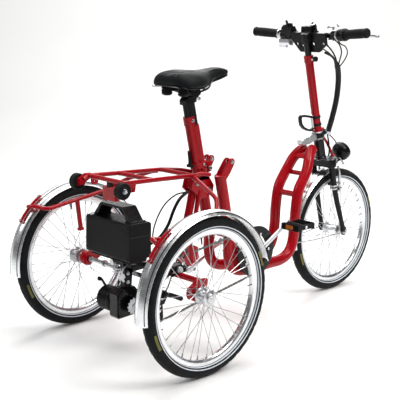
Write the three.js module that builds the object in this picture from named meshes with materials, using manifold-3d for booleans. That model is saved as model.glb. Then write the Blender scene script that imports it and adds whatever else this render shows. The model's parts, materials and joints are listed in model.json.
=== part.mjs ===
// Folding electric adult tricycle: +X forward, +Y left, +Z up, millimetres.
// It is drawn about the point on the ground under the middle of the rear axle, then shifted so that
// its origin is the bottom centre of its bounding box.

import * as THREE from "three";
import { mergeVertices } from "three/addons/utils/BufferGeometryUtils.js";
import Module from "manifold-3d";

const wasm = await Module();
wasm.setup();

// ---------------------------------------------------------------- driving dimensions

const GAP = 0.3; // clearance left between touching pieces
const WHEELBASE = 1027;
const WHEEL_Y = 328.5; // half the rear track
const TYRE_RADIUS = 248;
const TYRE_HALF_WIDTH = 22.5;
const TYRE_BEAD_RADIUS = 211;
const RIM_RADIUS = 210;
const RIM_INNER_RADIUS = 192;
const RIM_HALF_WIDTH = 12;
const SPOKES = 28;
const WHEEL_SEGMENTS = 32;
const AXLE_Z = TYRE_RADIUS;
const FENDER_RADIUS = 268;

const FRAME_TUBE_RADIUS = 20;
const FRAME_TUBE_Y = 50;
const BRACKET = { x: 475, z: 263 }; // bottom bracket axis
const FRAME_PIVOT = { x: 300, z: 497 }; // main fold hinge

const STEM_BASE = { x: 908, z: 643.5 }; // steering axis at the foot of the stem
const STEER_LEAN = Math.atan(0.25);
const HEAD_TOP = -14; // head tube ends, measured along the steering axis from the stem base
const HEAD_BOTTOM = -101;
const FORK_OFFSET = 19.5;
const FRONT_AXLE_DROP = -412.5;
const BAR_FORWARD = 33;
const BAR_HEIGHT = 381;
const BAR_HALF_SPAN = 262;
const GRIP_END = 268;

const MAST_PIVOT = { x: 304, z: 560 }; // front lower edge of the seat mast
const MAST_LEAN = Math.atan(0.235);
const MAST_LENGTH = 205;
const MAST_HALF_DEPTH = 27;
const MAST_HALF_WIDTH = 15;
const POST_TOP = 268;

const CRANK_LENGTH = 172;
const CRANK_ANGLE = THREE.MathUtils.degToRad(29);
const CHAIN_Y = -78;
const RING_RADIUS = 86; // pitch radii
const COG_RADIUS = 36;
const PULLEY_RADIUS = 18;
const GUIDE_PULLEY = { x: 22, z: 176 };
const TENSION_PULLEY = { x: 26, z: 116 };

const RACK_TUBE_RADIUS = 7.5;
const ROLLER = { x: -151, y: 115, z: 558, radius: 26, width: 22 };
const BEARING_Y = 278;
const BEAM = { x: 47, z: 270, radius: 10 }; // cross beam ahead of the rear axle
const BATTERY = { x: -77.5, z: 387.5, depth: 89, width: 220, height: 121 };
const MOTOR = { x: -60, z: 165, radius: 41 };

// ---------------------------------------------------------------- materials

const paint = (name, colour, roughness, metalness) =>
  new THREE.MeshStandardMaterial({ name, color: colour, roughness, metalness });

const RED = () => paint("red_paint", 0x9c0f1c, 0.3, 0.1);
const BLACK = () => paint("black_paint", 0x141517, 0.4, 0.1);
const SILVER = () => paint("polished_alloy", 0xc9cccf, 0.3, 0.9);
const STEEL = () => paint("steel", 0x8d8f92, 0.35, 0.9);
const RUBBER = () => paint("tyre_rubber", 0x101113, 0.85, 0);
const PLASTIC = () => paint("black_plastic", 0x191a1c, 0.6, 0);
const VINYL = () => paint("saddle_cover", 0x1b1d20, 0.5, 0);
const LENS = () => paint("red_lens", 0xb01010, 0.2, 0);

// ---------------------------------------------------------------- solids

const rad = THREE.MathUtils.degToRad;
const v = (x, y, z) => new THREE.Vector3(x, y, z);

function solid(geometry) {
  const bare = geometry.clone();
  for (const key of Object.keys(bare.attributes)) {
    if (key !== "position") bare.deleteAttribute(key);
  }
  const merged = mergeVertices(bare, 1e-4);
  return new wasm.Manifold(
    new wasm.Mesh({
      numProp: 3,
      vertProperties: new Float32Array(merged.attributes.position.array),
      triVerts: new Uint32Array(merged.index.array),
    }),
  );
}

function geometryOf(body) {
  const mesh = body.getMesh();
  const geometry = new THREE.BufferGeometry();
  geometry.setAttribute("position", new THREE.BufferAttribute(new Float32Array(mesh.vertProperties), 3));
  geometry.setIndex(new THREE.BufferAttribute(new Uint32Array(mesh.triVerts), 1));
  return geometry;
}

const union = (...geometries) => geometries.map(solid).reduce((all, next) => all.add(next));
const cut = (body, ...geometries) => geometries.map(solid).reduce((rest, tool) => rest.subtract(tool), body);

/** A path whose steps fall exactly on its own vertices, so that straight runs need one step. */
class VertexPath extends THREE.Curve {
  constructor(vertices) {
    super();
    this.vertices = vertices;
    this.steps = vertices.length - 1;
  }

  getPoint(t, target = new THREE.Vector3()) {
    const at = t * this.steps;
    const i = Math.min(Math.floor(at + 1e-6), this.steps - 1);
    return target.lerpVectors(this.vertices[i], this.vertices[i + 1], at - i);
  }

  getPointAt(t, target) {
    return this.getPoint(t, target);
  }

  getTangentAt(t, target = new THREE.Vector3()) {
    const i = Math.round(t * this.steps);
    const here = this.vertices[i];
    target.set(0, 0, 0);
    if (i > 0) target.add(here.clone().sub(this.vertices[i - 1]).normalize());
    if (i < this.steps) target.add(this.vertices[i + 1].clone().sub(here).normalize());
    return target.normalize();
  }
}

function circle(radius, sides) {
  const points = [];
  for (let i = 0; i < sides; i++) {
    const a = ((i + 0.5) / sides) * 2 * Math.PI;
    points.push(new THREE.Vector2(radius * Math.cos(a), radius * Math.sin(a)));
  }
  return new THREE.Shape(points);
}

function sweep(shape, vertices) {
  const path = new VertexPath(vertices);
  return new THREE.ExtrudeGeometry(shape, { steps: path.steps, extrudePath: path });
}

/** Round tube through points, with each corner replaced by a bend of the given set-back. */
function tube(points, radius, { sides = 10, bend = 0, bendSteps = 3 } = {}) {
  const route = [points[0]];
  for (let i = 1; i < points.length - 1; i++) {
    if (bend === 0) {
      route.push(points[i]);
      continue;
    }
    const before = points[i - 1].clone().sub(points[i]);
    const after = points[i + 1].clone().sub(points[i]);
    const back = Math.min(bend, before.length() / 2.05, after.length() / 2.05);
    const start = points[i].clone().add(before.setLength(back));
    const end = points[i].clone().add(after.setLength(back));
    const corner = new THREE.QuadraticBezierCurve3(start, points[i], end);
    route.push(...corner.getPoints(bendSteps));
  }
  route.push(points[points.length - 1]);
  return sweep(circle(radius, sides), route);
}

function smoothTube(points, radius, steps, sides = 10) {
  const route = new THREE.CatmullRomCurve3(points, false, "centripetal").getSpacedPoints(steps);
  return sweep(circle(radius, sides), route);
}

function box(x0, x1, y0, y1, z0, z1) {
  const geometry = new THREE.BoxGeometry(x1 - x0, y1 - y0, z1 - z0);
  return geometry.translate((x0 + x1) / 2, (y0 + y1) / 2, (z0 + z1) / 2);
}

/** Flat plate outlined in the XZ plane, from y0 to y1. */
function plate(outline, y0, y1, holes = []) {
  const shape = new THREE.Shape(outline.map(([x, z]) => new THREE.Vector2(x, z)));
  for (const { x, z, r } of holes) {
    const rim = circle(r, 10).getPoints().map((p) => p.add(new THREE.Vector2(x, z)));
    shape.holes.push(new THREE.Path(rim));
  }
  const geometry = new THREE.ExtrudeGeometry(shape, { depth: y1 - y0, bevelEnabled: false });
  return geometry.rotateX(Math.PI / 2).translate(0, y1, 0);
}

/** Body turned about the Y axis from a closed profile of [radius, y] points. */
function turned(profile, segments, x = 0, z = 0) {
  const points = profile.map(([r, y]) => new THREE.Vector2(r, y));
  const geometry = new THREE.LatheGeometry(points, segments);
  return geometry.translate(x, 0, z);
}

const ring = (profile) => [...profile, profile[0]];

function arc(cx, cz, radius, from, to, steps, y = 0) {
  const points = [];
  for (let i = 0; i <= steps; i++) {
    const a = rad(from + ((to - from) * i) / steps);
    points.push(v(cx + radius * Math.cos(a), y, cz + radius * Math.sin(a)));
  }
  return points;
}

const mirrored = (geometry) => {
  const flipped = geometry.clone().scale(1, -1, 1);
  const plain = flipped.index ? flipped.toNonIndexed() : flipped;
  const p = plain.attributes.position;
  for (let i = 0; i < p.count; i += 3) {
    const keep = v(p.getX(i), p.getY(i), p.getZ(i));
    p.setXYZ(i, p.getX(i + 1), p.getY(i + 1), p.getZ(i + 1));
    p.setXYZ(i + 1, keep.x, keep.y, keep.z);
  }
  return plain;
};

function node(parent, name, shape, material) {
  const geometry = shape.isBufferGeometry ? shape : geometryOf(shape);
  const mesh = new THREE.Mesh(geometry, material);
  mesh.name = name;
  parent.add(mesh);
  return mesh;
}

// ---------------------------------------------------------------- scene graph

const tricycle = new THREE.Group();
const vehicle = new THREE.Group();
tricycle.add(vehicle);

// Everything on the steering axis: x forward, z up along the axis, from the foot of the stem.
const head = new THREE.Group();
head.position.set(STEM_BASE.x, 0, STEM_BASE.z);
head.rotation.y = -STEER_LEAN;
vehicle.add(head);

// The seat mast: x forward, z up along the mast, from its hinge.
const mast = new THREE.Group();
mast.position.set(MAST_PIVOT.x, 0, MAST_PIVOT.z);
mast.rotation.y = -MAST_LEAN;
vehicle.add(mast);

// ---------------------------------------------------------------- main frame

const FRAME_ROUTE = [
  [866, 15, 592], [838, 24, 584], [812, 38, 556], [792, 47, 520], [767, FRAME_TUBE_Y, 484],
  [744, FRAME_TUBE_Y, 448], [731, FRAME_TUBE_Y, 373], [727, FRAME_TUBE_Y, 296], [715, FRAME_TUBE_Y, 240],
  [692, FRAME_TUBE_Y, 210], [651, FRAME_TUBE_Y, 194], [595, FRAME_TUBE_Y, 192], [430, FRAME_TUBE_Y, 194],
  [391, FRAME_TUBE_Y, 216], [376, FRAME_TUBE_Y, 256], [374, FRAME_TUBE_Y, 313], [352, FRAME_TUBE_Y, 430],
  [324, FRAME_TUBE_Y, 550],
];

function frameTube(radius) {
  return smoothTube(FRAME_ROUTE.map((p) => v(...p)), radius, 24);
}

/** A head-axis shape carried into the vehicle's coordinates. */
function fromHead(geometry) {
  head.updateMatrix();
  return geometry.applyMatrix4(head.matrix);
}

const headTubeCore = () => turned([
  [0, HEAD_BOTTOM - 40], [20 + GAP, HEAD_BOTTOM - 40], [20 + GAP, 60], [0, 60],
], 20).rotateX(Math.PI / 2);
const aboveHead = () => box(-200, 200, -80, 80, HEAD_TOP, 120);

const EAR = [[312, 536], [340, 531], [372, 572], [382, 588], [381, 598], [374, 604], [363, 605], [354, 599],
  [324, 560]];
const EAR_HOLE = { x: 368, z: 592, r: 6 };

const leftTube = cut(
  union(
    frameTube(FRAME_TUBE_RADIUS),
    plate(EAR, FRAME_TUBE_Y + 9, FRAME_TUBE_Y + 14, [EAR_HOLE]),
    plate(EAR, FRAME_TUBE_Y - 14, FRAME_TUBE_Y - 9, [EAR_HOLE]),
  ),
  box(700, 900, -60, GAP / 2, 400, 700),
  fromHead(headTubeCore()),
  fromHead(aboveHead()),
);
node(vehicle, "frame_tube_left", leftTube, RED());
node(vehicle, "frame_tube_right", mirrored(geometryOf(leftTube)), RED());

const fatTubes = () => [frameTube(FRAME_TUBE_RADIUS + GAP), mirrored(frameTube(FRAME_TUBE_RADIUS + GAP))];
const GUSSET = [
  [846, 590], [812, 574], [783, 528], [774, 504], [786, 496], [806, 520], [820, 548], [850, 576],
];
node(vehicle, "frame_gusset", cut(
  solid(plate(GUSSET, -33, 33)),
  ...fatTubes(),
  box(770, 812, -14, 14, 529, 566),
  fromHead(headTubeCore()),
), RED());

const headTubeProfile = ring([
  [14, HEAD_BOTTOM], [20, HEAD_BOTTOM], [20, HEAD_TOP - GAP], [14, HEAD_TOP - GAP],
]);
node(head, "head_tube", turned(headTubeProfile, 20).rotateX(Math.PI / 2), BLACK());

const bracketShell = turned(ring([[9, -34], [21, -34], [21, 34], [9, 34]]), 16, BRACKET.x, BRACKET.z);
const bracketWeb = plate([[450, 196], [500, 196], [494, 246], [456, 246]], -48, 48);
node(vehicle, "bottom_bracket_shell", cut(union(bracketShell, bracketWeb), ...fatTubes()), RED());

// ---------------------------------------------------------------- rear frame

const RACK_RAIL = [
  [-144, 92, 566], [-123, 94, 576], [-8, 86, 573], [167, 82, 568], [232, 54, 564], [292, 32, 552],
];

function rackRail(side, radius = RACK_TUBE_RADIUS) {
  const points = RACK_RAIL.map(([x, y, z]) => v(x, side * y, z));
  return tube(points, radius, { sides: 8, bend: 14, bendSteps: 2 });
}

const crossBar = (x, z, half, radius = RACK_TUBE_RADIUS) =>
  tube([v(x, -half, z), v(x, half, z)], radius, { sides: 6 });
const ROLLER_ARM = [[-162, 548], [-142, 548], [-112, 568], [-112, 584], [-134, 584], [-160, 568]];
const rollerArm = (side) => plate(ROLLER_ARM, side > 0 ? 94 : -103, side > 0 ? 103 : -94);
const rollerPin = (side) => turned([[0, 0], [5, 0], [5, 32], [0, 32]], 8, ROLLER.x, ROLLER.z)
  .translate(0, side > 0 ? 96 : -128, 0);

node(vehicle, "rack_frame", union(
  rackRail(1), rackRail(-1),
  crossBar(-123, 576, 94), crossBar(-8, 573, 85), crossBar(167, 568, 81),
  rollerArm(1), rollerArm(-1), rollerPin(1), rollerPin(-1),
), RED());

for (const [name, side] of [["left", 1], ["right", -1]]) {
  const { radius, width } = ROLLER;
  const profile = ring([[5.5, -width / 2], [radius - 4, -width / 2], [radius, -width / 2 + 5],
    [radius, width / 2 - 5], [radius - 4, width / 2], [5.5, width / 2]]);
  const roller = node(vehicle, `transport_roller_${name}`, turned(profile, 16), RUBBER());
  roller.position.set(ROLLER.x, side * (103 + GAP + width / 2), ROLLER.z);
}

// Pivot block between the uprights, with the strut down to the axle.
const PIVOT_BLOCK = [[228, 548], [296, 548], [322, 512], [318, 486], [300, 476], [262, 470], [216, 508]];
const STRUT_RADIUS = 14;
const strutTube = (radius) => tube([v(246, 0, 500), v(222, 0, 400), v(184, 0, 286), v(50, 0, 268)], radius,
  { sides: 10, bend: 40, bendSteps: 3 });
const beamBar = (radius, half) => tube([v(BEAM.x, -half, BEAM.z), v(BEAM.x, half, BEAM.z)], radius);
const MAST_SEAT = [[240, 534], [300, 534], [301, 557], [246, 544]];
const lowerPlate = plate([[196, 330], [262, 300], [270, 262], [232, 236], [176, 262]], -12, 12);
node(vehicle, "rear_strut", cut(
  union(plate(PIVOT_BLOCK, -24, 24), plate(MAST_SEAT, -24, 24), strutTube(STRUT_RADIUS), lowerPlate),
  beamBar(BEAM.radius + GAP, 40),
  turned([[0, -30], [6, -30], [6, 30], [0, 30]], 12, FRAME_PIVOT.x, FRAME_PIVOT.z),
), RED());

// Side tubes: from the top of each fender inside the wheel and up to the rack, each with a socket below.
const SIDE_TUBE = [
  [-201, WHEEL_Y, 447], [-192, 300, 452], [-176, 284, 447], [-150, 284, 440], [-30, 284, 458],
  [83, 280, 476], [136, 226, 518], [158, 112, 558], [164, 88, 563],
];
const SOCKET = [[-32, 284, 458], [-20, 281, 352]];
const fenderClip = tube(arc(0, AXLE_Z, FENDER_RADIUS + 7.5, 147, 123, 5, WHEEL_Y), 5, { sides: 6 });
const leftSideTube = cut(
  union(
    tube(SIDE_TUBE.map((p) => v(...p)), 7, { sides: 8, bend: 22, bendSteps: 2 }),
    fenderClip,
    tube(SOCKET.map((p) => v(...p)), 8, { sides: 8 }),
    tube([v(-21, 281.3, 358), v(-20, 281, 350)], 12, { sides: 12 }),
  ),
  rackRail(1, RACK_TUBE_RADIUS + GAP),
);
node(vehicle, "side_tube_left", leftSideTube, RED());
node(vehicle, "side_tube_right", mirrored(geometryOf(leftSideTube)), RED());

const CARRIER = [[-16, 232], [20, 232], [58, 256], [60, 282], [20, 284], [-16, 262]];
const bearing = (side) => turned([[0, -8], [24, -8], [24, 8], [0, 8]], 14, 0, AXLE_Z)
  .translate(0, side * BEARING_Y, 0);
node(vehicle, "axle_beam", cut(
  union(
    beamBar(BEAM.radius, 264),
    plate(CARRIER, 258, 271),
    plate(CARRIER, -271, -258),
    bearing(1),
    bearing(-1),
  ),
  tube([v(0, -300, AXLE_Z), v(0, 300, AXLE_Z)], 10, { sides: 12 }),
), RED());

// Battery lead and gear cable between the tray and the frame pivot, held at both ends.
const REAR_LEAD = [
  [214, -8, 499], [176, -10, 478], [148, -12, 444], [124, -12, 398], [90, -11, 362], [40, -8, 340],
  [2, -4, 322], [-22, -3, 306],
];
const GEAR_CABLE = [
  [208, -8, 498], [164, -6, 494], [118, -5, 470], [88, -5, 436], [66, -6, 392], [58, -8, 348],
];
node(vehicle, "rear_cables", union(
  smoothTube(REAR_LEAD.map((p) => v(...p)), 5.5, 14, 8),
  smoothTube(GEAR_CABLE.map((p) => v(...p)), 2.5, 12, 6),
), PLASTIC());

const FENDER_SECTION = [
  [-25, -12], [-20, -3], [0, 2], [20, -3], [25, -12], [23.4, -12.5], [18.8, -4.8], [0, 0.2], [-18.8, -4.8],
  [-23.4, -12.5],
];
const fenderShape = () => new THREE.Shape(FENDER_SECTION.map(([x, y]) => new THREE.Vector2(x, y)));

const rearFender = sweep(fenderShape(), arc(0, AXLE_Z, FENDER_RADIUS - 2, 17, 187, 18));
for (const [name, side] of [["left", 1], ["right", -1]]) {
  const fender = node(vehicle, `fender_${name}`, rearFender.clone(), SILVER());
  fender.position.y = side * WHEEL_Y;
}

const trayPlate = box(-112, -42, -96, 96, 320, 326 - GAP);
const trayColumn = plate([[-74, 322], [-34, 322], [-26, 268], [-30, 216], [-62, 216], [-58, 268]], -10, 10);
const trayFoot = plate([[-60, 300], [-20, 296], [36, 284], [36, 266], [-40, 262]], -10, 10);
node(vehicle, "motor_bracket", cut(
  union(trayPlate, trayColumn, trayFoot),
  strutTube(STRUT_RADIUS + GAP),
  beamBar(BEAM.radius + GAP, 40),
  tube([v(0, -40, AXLE_Z), v(0, 40, AXLE_Z)], 13, { sides: 12 }),
), BLACK());

const motorProfile = [[0, 28 + GAP], [36, 28 + GAP], [41, 34], [41, 84], [36, 92], [30, 96], [0, 96]];
node(vehicle, "motor", turned(motorProfile, 16, MOTOR.x, MOTOR.z), BLACK());

const GEARBOX = [[-93, 122], [-84, 114], [-14, 120], [-6, 130], [-6, 200], [-20, 216 - GAP], [-74, 216 - GAP],
  [-93, 198]];
const gearboxOutput = turned([[0, -30], [24, -30], [24, -11], [0, -11]], 14, MOTOR.x + 20, MOTOR.z - 8);
node(vehicle, "gearbox", union(plate(GEARBOX, -12, 28), gearboxOutput), BLACK());

node(vehicle, "tail_light", cut(
  union(box(-118, -96, -30, 30, 508, 552), box(-118, -100, -9, 9, 550, 574)),
  crossBar(-123, 576, 94, RACK_TUBE_RADIUS + GAP),
), LENS());

const HANGER = [[-14, 234], [-14, 262], [34, 292], [60, 280], [60, 256], [16, 232], [16, 216], [42, 206],
  [48, 190], [32, 164], [12, 164], [4, 190], [-8, 214]];
const derailleurKnob = tube([v(36, CHAIN_Y - 18, 196), v(106, CHAIN_Y - 22, 166)], 8, { sides: 8 });
node(vehicle, "derailleur_body", cut(
  union(plate(HANGER, CHAIN_Y - 22, CHAIN_Y - 13), derailleurKnob),
  tube([v(0, -120, AXLE_Z), v(0, -60, AXLE_Z)], 9, { sides: 12 }),
  tube([v(BEAM.x, -120, BEAM.z), v(BEAM.x, -60, BEAM.z)], BEAM.radius + GAP),
), BLACK());

// ---------------------------------------------------------------- battery

const half = { x: BATTERY.depth / 2, y: BATTERY.width / 2, z: BATTERY.height / 2 };
const caseOutline = [];
for (const [sx, sz] of [[-1, -1], [1, -1], [1, 1], [-1, 1]]) {
  const corner = [
    [BATTERY.x + sx * (half.x - 6), BATTERY.z + sz * half.z],
    [BATTERY.x + sx * half.x, BATTERY.z + sz * (half.z - 6)],
  ];
  caseOutline.push(...(sx * sz > 0 ? corner.reverse() : corner));
}
node(vehicle, "battery_case", plate(caseOutline, -half.y, half.y), PLASTIC());

const BATTERY_TOP = BATTERY.z + half.z;
const HANDLE_OUTER = [[-96, 0], [-84, 14], [-58, 46], [58, 46], [84, 14], [96, 0]];
const HANDLE_INNER = [[-76, 0], [-70, 8], [-50, 38], [50, 38], [70, 8], [76, 0]];
const handleShape = new THREE.Shape([...HANDLE_OUTER, ...HANDLE_INNER.reverse()]
  .map(([y, z]) => new THREE.Vector2(y, z)));
const handle = new THREE.ExtrudeGeometry(handleShape, { depth: 52, bevelEnabled: false });
handle.rotateX(Math.PI / 2).rotateZ(Math.PI / 2);
const handleMesh = node(vehicle, "battery_handle", handle, PLASTIC());
handleMesh.position.set(BATTERY.x - 26, 0, BATTERY_TOP + GAP);

// ---------------------------------------------------------------- wheels

const tyreProfile = ring([
  [TYRE_BEAD_RADIUS, -12], [TYRE_BEAD_RADIUS + 13, -TYRE_HALF_WIDTH], [TYRE_RADIUS - 6, -16],
  [TYRE_RADIUS, -5], [TYRE_RADIUS, 5],
  [TYRE_RADIUS - 6, 16], [TYRE_BEAD_RADIUS + 13, TYRE_HALF_WIDTH], [TYRE_BEAD_RADIUS, 12],
]);
const rimProfile = ring([
  [RIM_INNER_RADIUS, -9], [RIM_RADIUS, -RIM_HALF_WIDTH], [RIM_RADIUS, RIM_HALF_WIDTH], [RIM_INNER_RADIUS, 9],
]);

/** Hub with its spokes, axis along Y. Each spoke leans a little, clear of the ones beside it. */
function spokedHub(profile, flangeY, flangeRadius) {
  const foot = flangeRadius - 3;
  const reach = RIM_INNER_RADIUS * Math.cos(Math.PI / WHEEL_SEGMENTS) - 2 * GAP;
  const spokes = [];
  for (let i = 0; i < SPOKES; i++) {
    const side = i % 2;
    const angle = rad((360 / SPOKES) * i);
    const start = v(foot * Math.cos(angle), flangeY[side], foot * Math.sin(angle));
    const end = v(reach * Math.cos(angle), 4 * side - 2, reach * Math.sin(angle));
    spokes.push(sweep(circle(1.2, 3), [start, end]));
  }
  return union(turned(profile, 10), ...spokes);
}

const rearHubProfile = [[0, -25], [13, -25], [26, -24], [26, -21], [17, -18], [15, 8], [26, 11], [26, 14],
  [18, 16], [15, 22], [0, 22]];
const stubHubProfile = [[0, -62], [8, -62], [8, -25], ...rearHubProfile.slice(1)];
const frontHubProfile = [[0, -47], [7, -47], [8, -36], [22, -34], [22, -31], [11, -26], [11, 26], [22, 31],
  [22, 34], [8, 36], [7, 47], [0, 47]];

const WHEELS = [
  { name: "rear_left", x: 0, y: WHEEL_Y, profile: rearHubProfile, flanges: [-22.5, 12.5], hub: 26 },
  { name: "rear_right", x: 0, y: -WHEEL_Y, profile: stubHubProfile, flanges: [-22.5, 12.5], hub: 26,
    turn: true },
  { name: "front", x: WHEELBASE, y: 0, profile: frontHubProfile, flanges: [-32.5, 32.5], hub: 22 },
];
for (const wheel of WHEELS) {
  const parts = {
    tyre: [turned(tyreProfile, WHEEL_SEGMENTS), RUBBER()],
    rim: [turned(rimProfile, WHEEL_SEGMENTS), SILVER()],
    hub: [spokedHub(wheel.profile, wheel.flanges, wheel.hub), STEEL()],
  };
  for (const [part, [shape, material]] of Object.entries(parts)) {
    const mesh = node(vehicle, `${part}_${wheel.name}`, shape, material);
    mesh.position.set(wheel.x, wheel.y, AXLE_Z);
    mesh.rotation.z = wheel.turn ? Math.PI : 0;
  }
}

const shaftOuter = WHEEL_Y - 25 - GAP;
const driveShaft = [
  [0, -104], [8, -104], [8, 86], [14, 88], [14, 112], [8, 114], [8, shaftOuter], [0, shaftOuter],
];
node(vehicle, "drive_shaft", turned(driveShaft, 12, 0, AXLE_Z), STEEL());

// ---------------------------------------------------------------- drive

const cassetteProfile = ring([[9, -9], [30, -9], [30, -3], [COG_RADIUS - 5, -3], [COG_RADIUS - 5, 3], [22, 3],
  [20, 9], [9, 9]]);
node(vehicle, "cassette", turned(cassetteProfile, 14, 0, AXLE_Z).translate(0, CHAIN_Y, 0), STEEL());

const pulleyProfile = [
  [0, -8.5], [4, -8.5], [4, -2], [13.5, -2], [13.5, 2], [4, 2], [4, 8.5], [0, 8.5],
];
const pulley = ({ x, z }) => turned(pulleyProfile, 12, x, z).translate(0, CHAIN_Y, 0);
function cagePlate(y0, y1) {
  const { x: gx, z: gz } = GUIDE_PULLEY;
  const { x: tx, z: tz } = TENSION_PULLEY;
  return plate([
    [gx - 11, gz], [gx - 5, gz + 10], [gx + 7, gz + 10], [gx + 12, gz],
    [tx + 12, tz], [tx + 6, tz - 10], [tx - 6, tz - 10], [tx - 11, tz],
  ], y0, y1);
}
node(vehicle, "derailleur_cage", union(pulley(GUIDE_PULLEY), pulley(TENSION_PULLEY),
  cagePlate(CHAIN_Y - 10.5, CHAIN_Y - 8), cagePlate(CHAIN_Y + 8, CHAIN_Y + 10)), BLACK());

// The chain: arcs round each wheel, joined by the straight runs between them.
const CHAIN_HALF = 3.5;
const CHAIN_WIDTH = 6;
const TOP_RUN = 97.6;
const BOTTOM_RUN = -80.6;
const chainArcs = [
  { at: BRACKET, r: RING_RADIUS, from: BOTTOM_RUN, to: TOP_RUN, steps: 12 },
  { at: { x: 0, z: AXLE_Z }, r: COG_RADIUS, from: TOP_RUN, to: 280, steps: 10 },
  { at: GUIDE_PULLEY, r: PULLEY_RADIUS, from: 100, to: -12, steps: 5 },
  { at: TENSION_PULLEY, r: PULLEY_RADIUS, from: 168, to: 360 + BOTTOM_RUN, steps: 5 },
];
function chainEdge(offset) {
  const points = [];
  for (const { at, r, from, to, steps } of chainArcs) {
    const side = Math.sign(to - from);
    points.push(...arc(at.x, at.z, r + side * offset, from, to, steps).map((p) => [p.x, p.z]));
  }
  return points;
}
const chainShape = new THREE.Shape(chainEdge(CHAIN_HALF).map(([x, z]) => new THREE.Vector2(x, z)));
chainShape.holes.push(new THREE.Path(chainEdge(-CHAIN_HALF).map(([x, z]) => new THREE.Vector2(x, z))));
const chainBand = new THREE.ExtrudeGeometry(chainShape, { depth: CHAIN_WIDTH, bevelEnabled: false });
chainBand.rotateX(Math.PI / 2).translate(0, CHAIN_Y + CHAIN_WIDTH / 2, 0);
node(vehicle, "chain", chainBand, STEEL());

const ringProfile = [[0, -14], [RING_RADIUS + 6, -11], [RING_RADIUS + 6, -8], [50, -8], [50, -2],
  [RING_RADIUS - 4.5, -2], [RING_RADIUS - 4.5, 2], [20, 2], [20, 8], [0, 8]];
node(vehicle, "chainring", cut(
  solid(turned(ringProfile, 18, BRACKET.x, BRACKET.z).translate(0, CHAIN_Y, 0)),
  tube([v(BRACKET.x, -120, BRACKET.z), v(BRACKET.x, -40, BRACKET.z)], 8 + GAP, { sides: 12 }),
), BLACK());

const crankX = CRANK_LENGTH * Math.cos(CRANK_ANGLE);
const crankZ = CRANK_LENGTH * Math.sin(CRANK_ANGLE);
const CRANK_FACE = 94; // inner face of each crank arm

function crankArm(side) {
  const ex = BRACKET.x - side * crankX;
  const ez = BRACKET.z - side * crankZ;
  const armY = side * (CRANK_FACE + 6);
  const arm = tube([v(BRACKET.x, armY, BRACKET.z), v(ex, armY, ez)], 7.5, { sides: 8 });
  const bossEnd = CRANK_FACE + 13;
  const boss = (x, z, r) => turned([[0, CRANK_FACE], [r, CRANK_FACE], [r, bossEnd], [0, bossEnd]], 14, x, z);
  const bosses = [boss(BRACKET.x, BRACKET.z, 16), boss(ex, ez, 12)]
    .map((shape) => (side > 0 ? shape : mirrored(shape)));
  return cut(
    union(arm, ...bosses),
    tube([v(ex, side * 80, ez), v(ex, side * 130, ez)], 5.3, { sides: 10 }),
  );
}
const spindle = tube([v(BRACKET.x, 2 - CRANK_FACE, BRACKET.z), v(BRACKET.x, CRANK_FACE + 2, BRACKET.z)], 8,
  { sides: 12 });
node(vehicle, "crank_arm_left", crankArm(1).add(solid(spindle)), STEEL());
node(vehicle, "crank_arm_right", crankArm(-1), STEEL());

const PEDAL_INNER = CRANK_FACE + 14;
const PEDAL_OUTER = 192;
for (const [name, side] of [["left", 1], ["right", -1]]) {
  const y = (d) => [Math.min(side * d[0], side * d[1]), Math.max(side * d[0], side * d[1])];
  const rail = (x0, x1) => box(x0, x1, ...y([PEDAL_INNER + 4, PEDAL_OUTER]), -12, 12);
  const pedal = union(
    tube([v(0, side * (CRANK_FACE + 1), 0), v(0, side * (PEDAL_OUTER - 6), 0)], 5, { sides: 8 }),
    rail(-46, -30), rail(30, 46), rail(-9, 9),
    box(-46, 46, ...y([PEDAL_INNER + 4, PEDAL_INNER + 14]), -10, 10),
    box(-46, 46, ...y([PEDAL_OUTER - 12, PEDAL_OUTER]), -10, 10),
  );
  const mesh = node(vehicle, `pedal_${name}`, pedal, PLASTIC());
  mesh.position.set(BRACKET.x - side * crankX, 0, BRACKET.z - side * crankZ);
}

// ---------------------------------------------------------------- seat

/** Rectangle with rounded ends, long way along x, centred at cx. */
function capsule(cx, halfLength, halfWidth, steps = 5) {
  const points = [];
  for (const [end, start] of [[1, -90], [-1, 90]]) {
    for (let i = 0; i <= steps; i++) {
      const a = rad(start + (180 * i) / steps);
      const along = end * (halfLength - halfWidth) + halfWidth * Math.cos(a);
      points.push(new THREE.Vector2(cx + along, halfWidth * Math.sin(a)));
    }
  }
  return new THREE.Shape(points);
}

const upright = (shape, z0, z1) =>
  new THREE.ExtrudeGeometry(shape, { depth: z1 - z0, bevelEnabled: false }).translate(0, 0, z0);

const mastX = -MAST_HALF_DEPTH - 1; // centre line of the mast, behind its hinge
const mastOuter = upright(capsule(mastX, MAST_HALF_DEPTH, MAST_HALF_WIDTH), 3, MAST_LENGTH);
const mastBore = upright(capsule(mastX, MAST_HALF_DEPTH - 3, MAST_HALF_WIDTH - 3), 12, MAST_LENGTH + 10);
const frontStep = box(mastX + 4, 20, -40, 40, MAST_LENGTH - 34, MAST_LENGTH + 10);
const mastCollar = upright(capsule(mastX, MAST_HALF_DEPTH + 4, MAST_HALF_WIDTH + 4), 22, 44);
node(mast, "seat_mast", cut(union(mastOuter, mastCollar), mastBore, frontStep), RED());

const clampArm = tube([v(mastX - 38, 0, 40), v(mastX - 40, 0, 96)], 5, { sides: 6 });
const clampPin = tube([v(mastX - 38, -10, 40), v(mastX - 38, 10, 40)], 6, { sides: 8 });
node(mast, "mast_clamp_lever", union(clampArm, clampPin), BLACK());

const postShape = () => capsule(mastX, MAST_HALF_DEPTH - 3 - GAP, MAST_HALF_WIDTH - 3 - GAP);
const postHead = tube([v(mastX, -24, POST_TOP - 10), v(mastX, 24, POST_TOP - 10)], 15, { sides: 12 });
node(mast, "seat_post", union(upright(postShape(), 60, POST_TOP - 14), postHead), BLACK());

// ---------------------------------------------------------------- saddle

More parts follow.
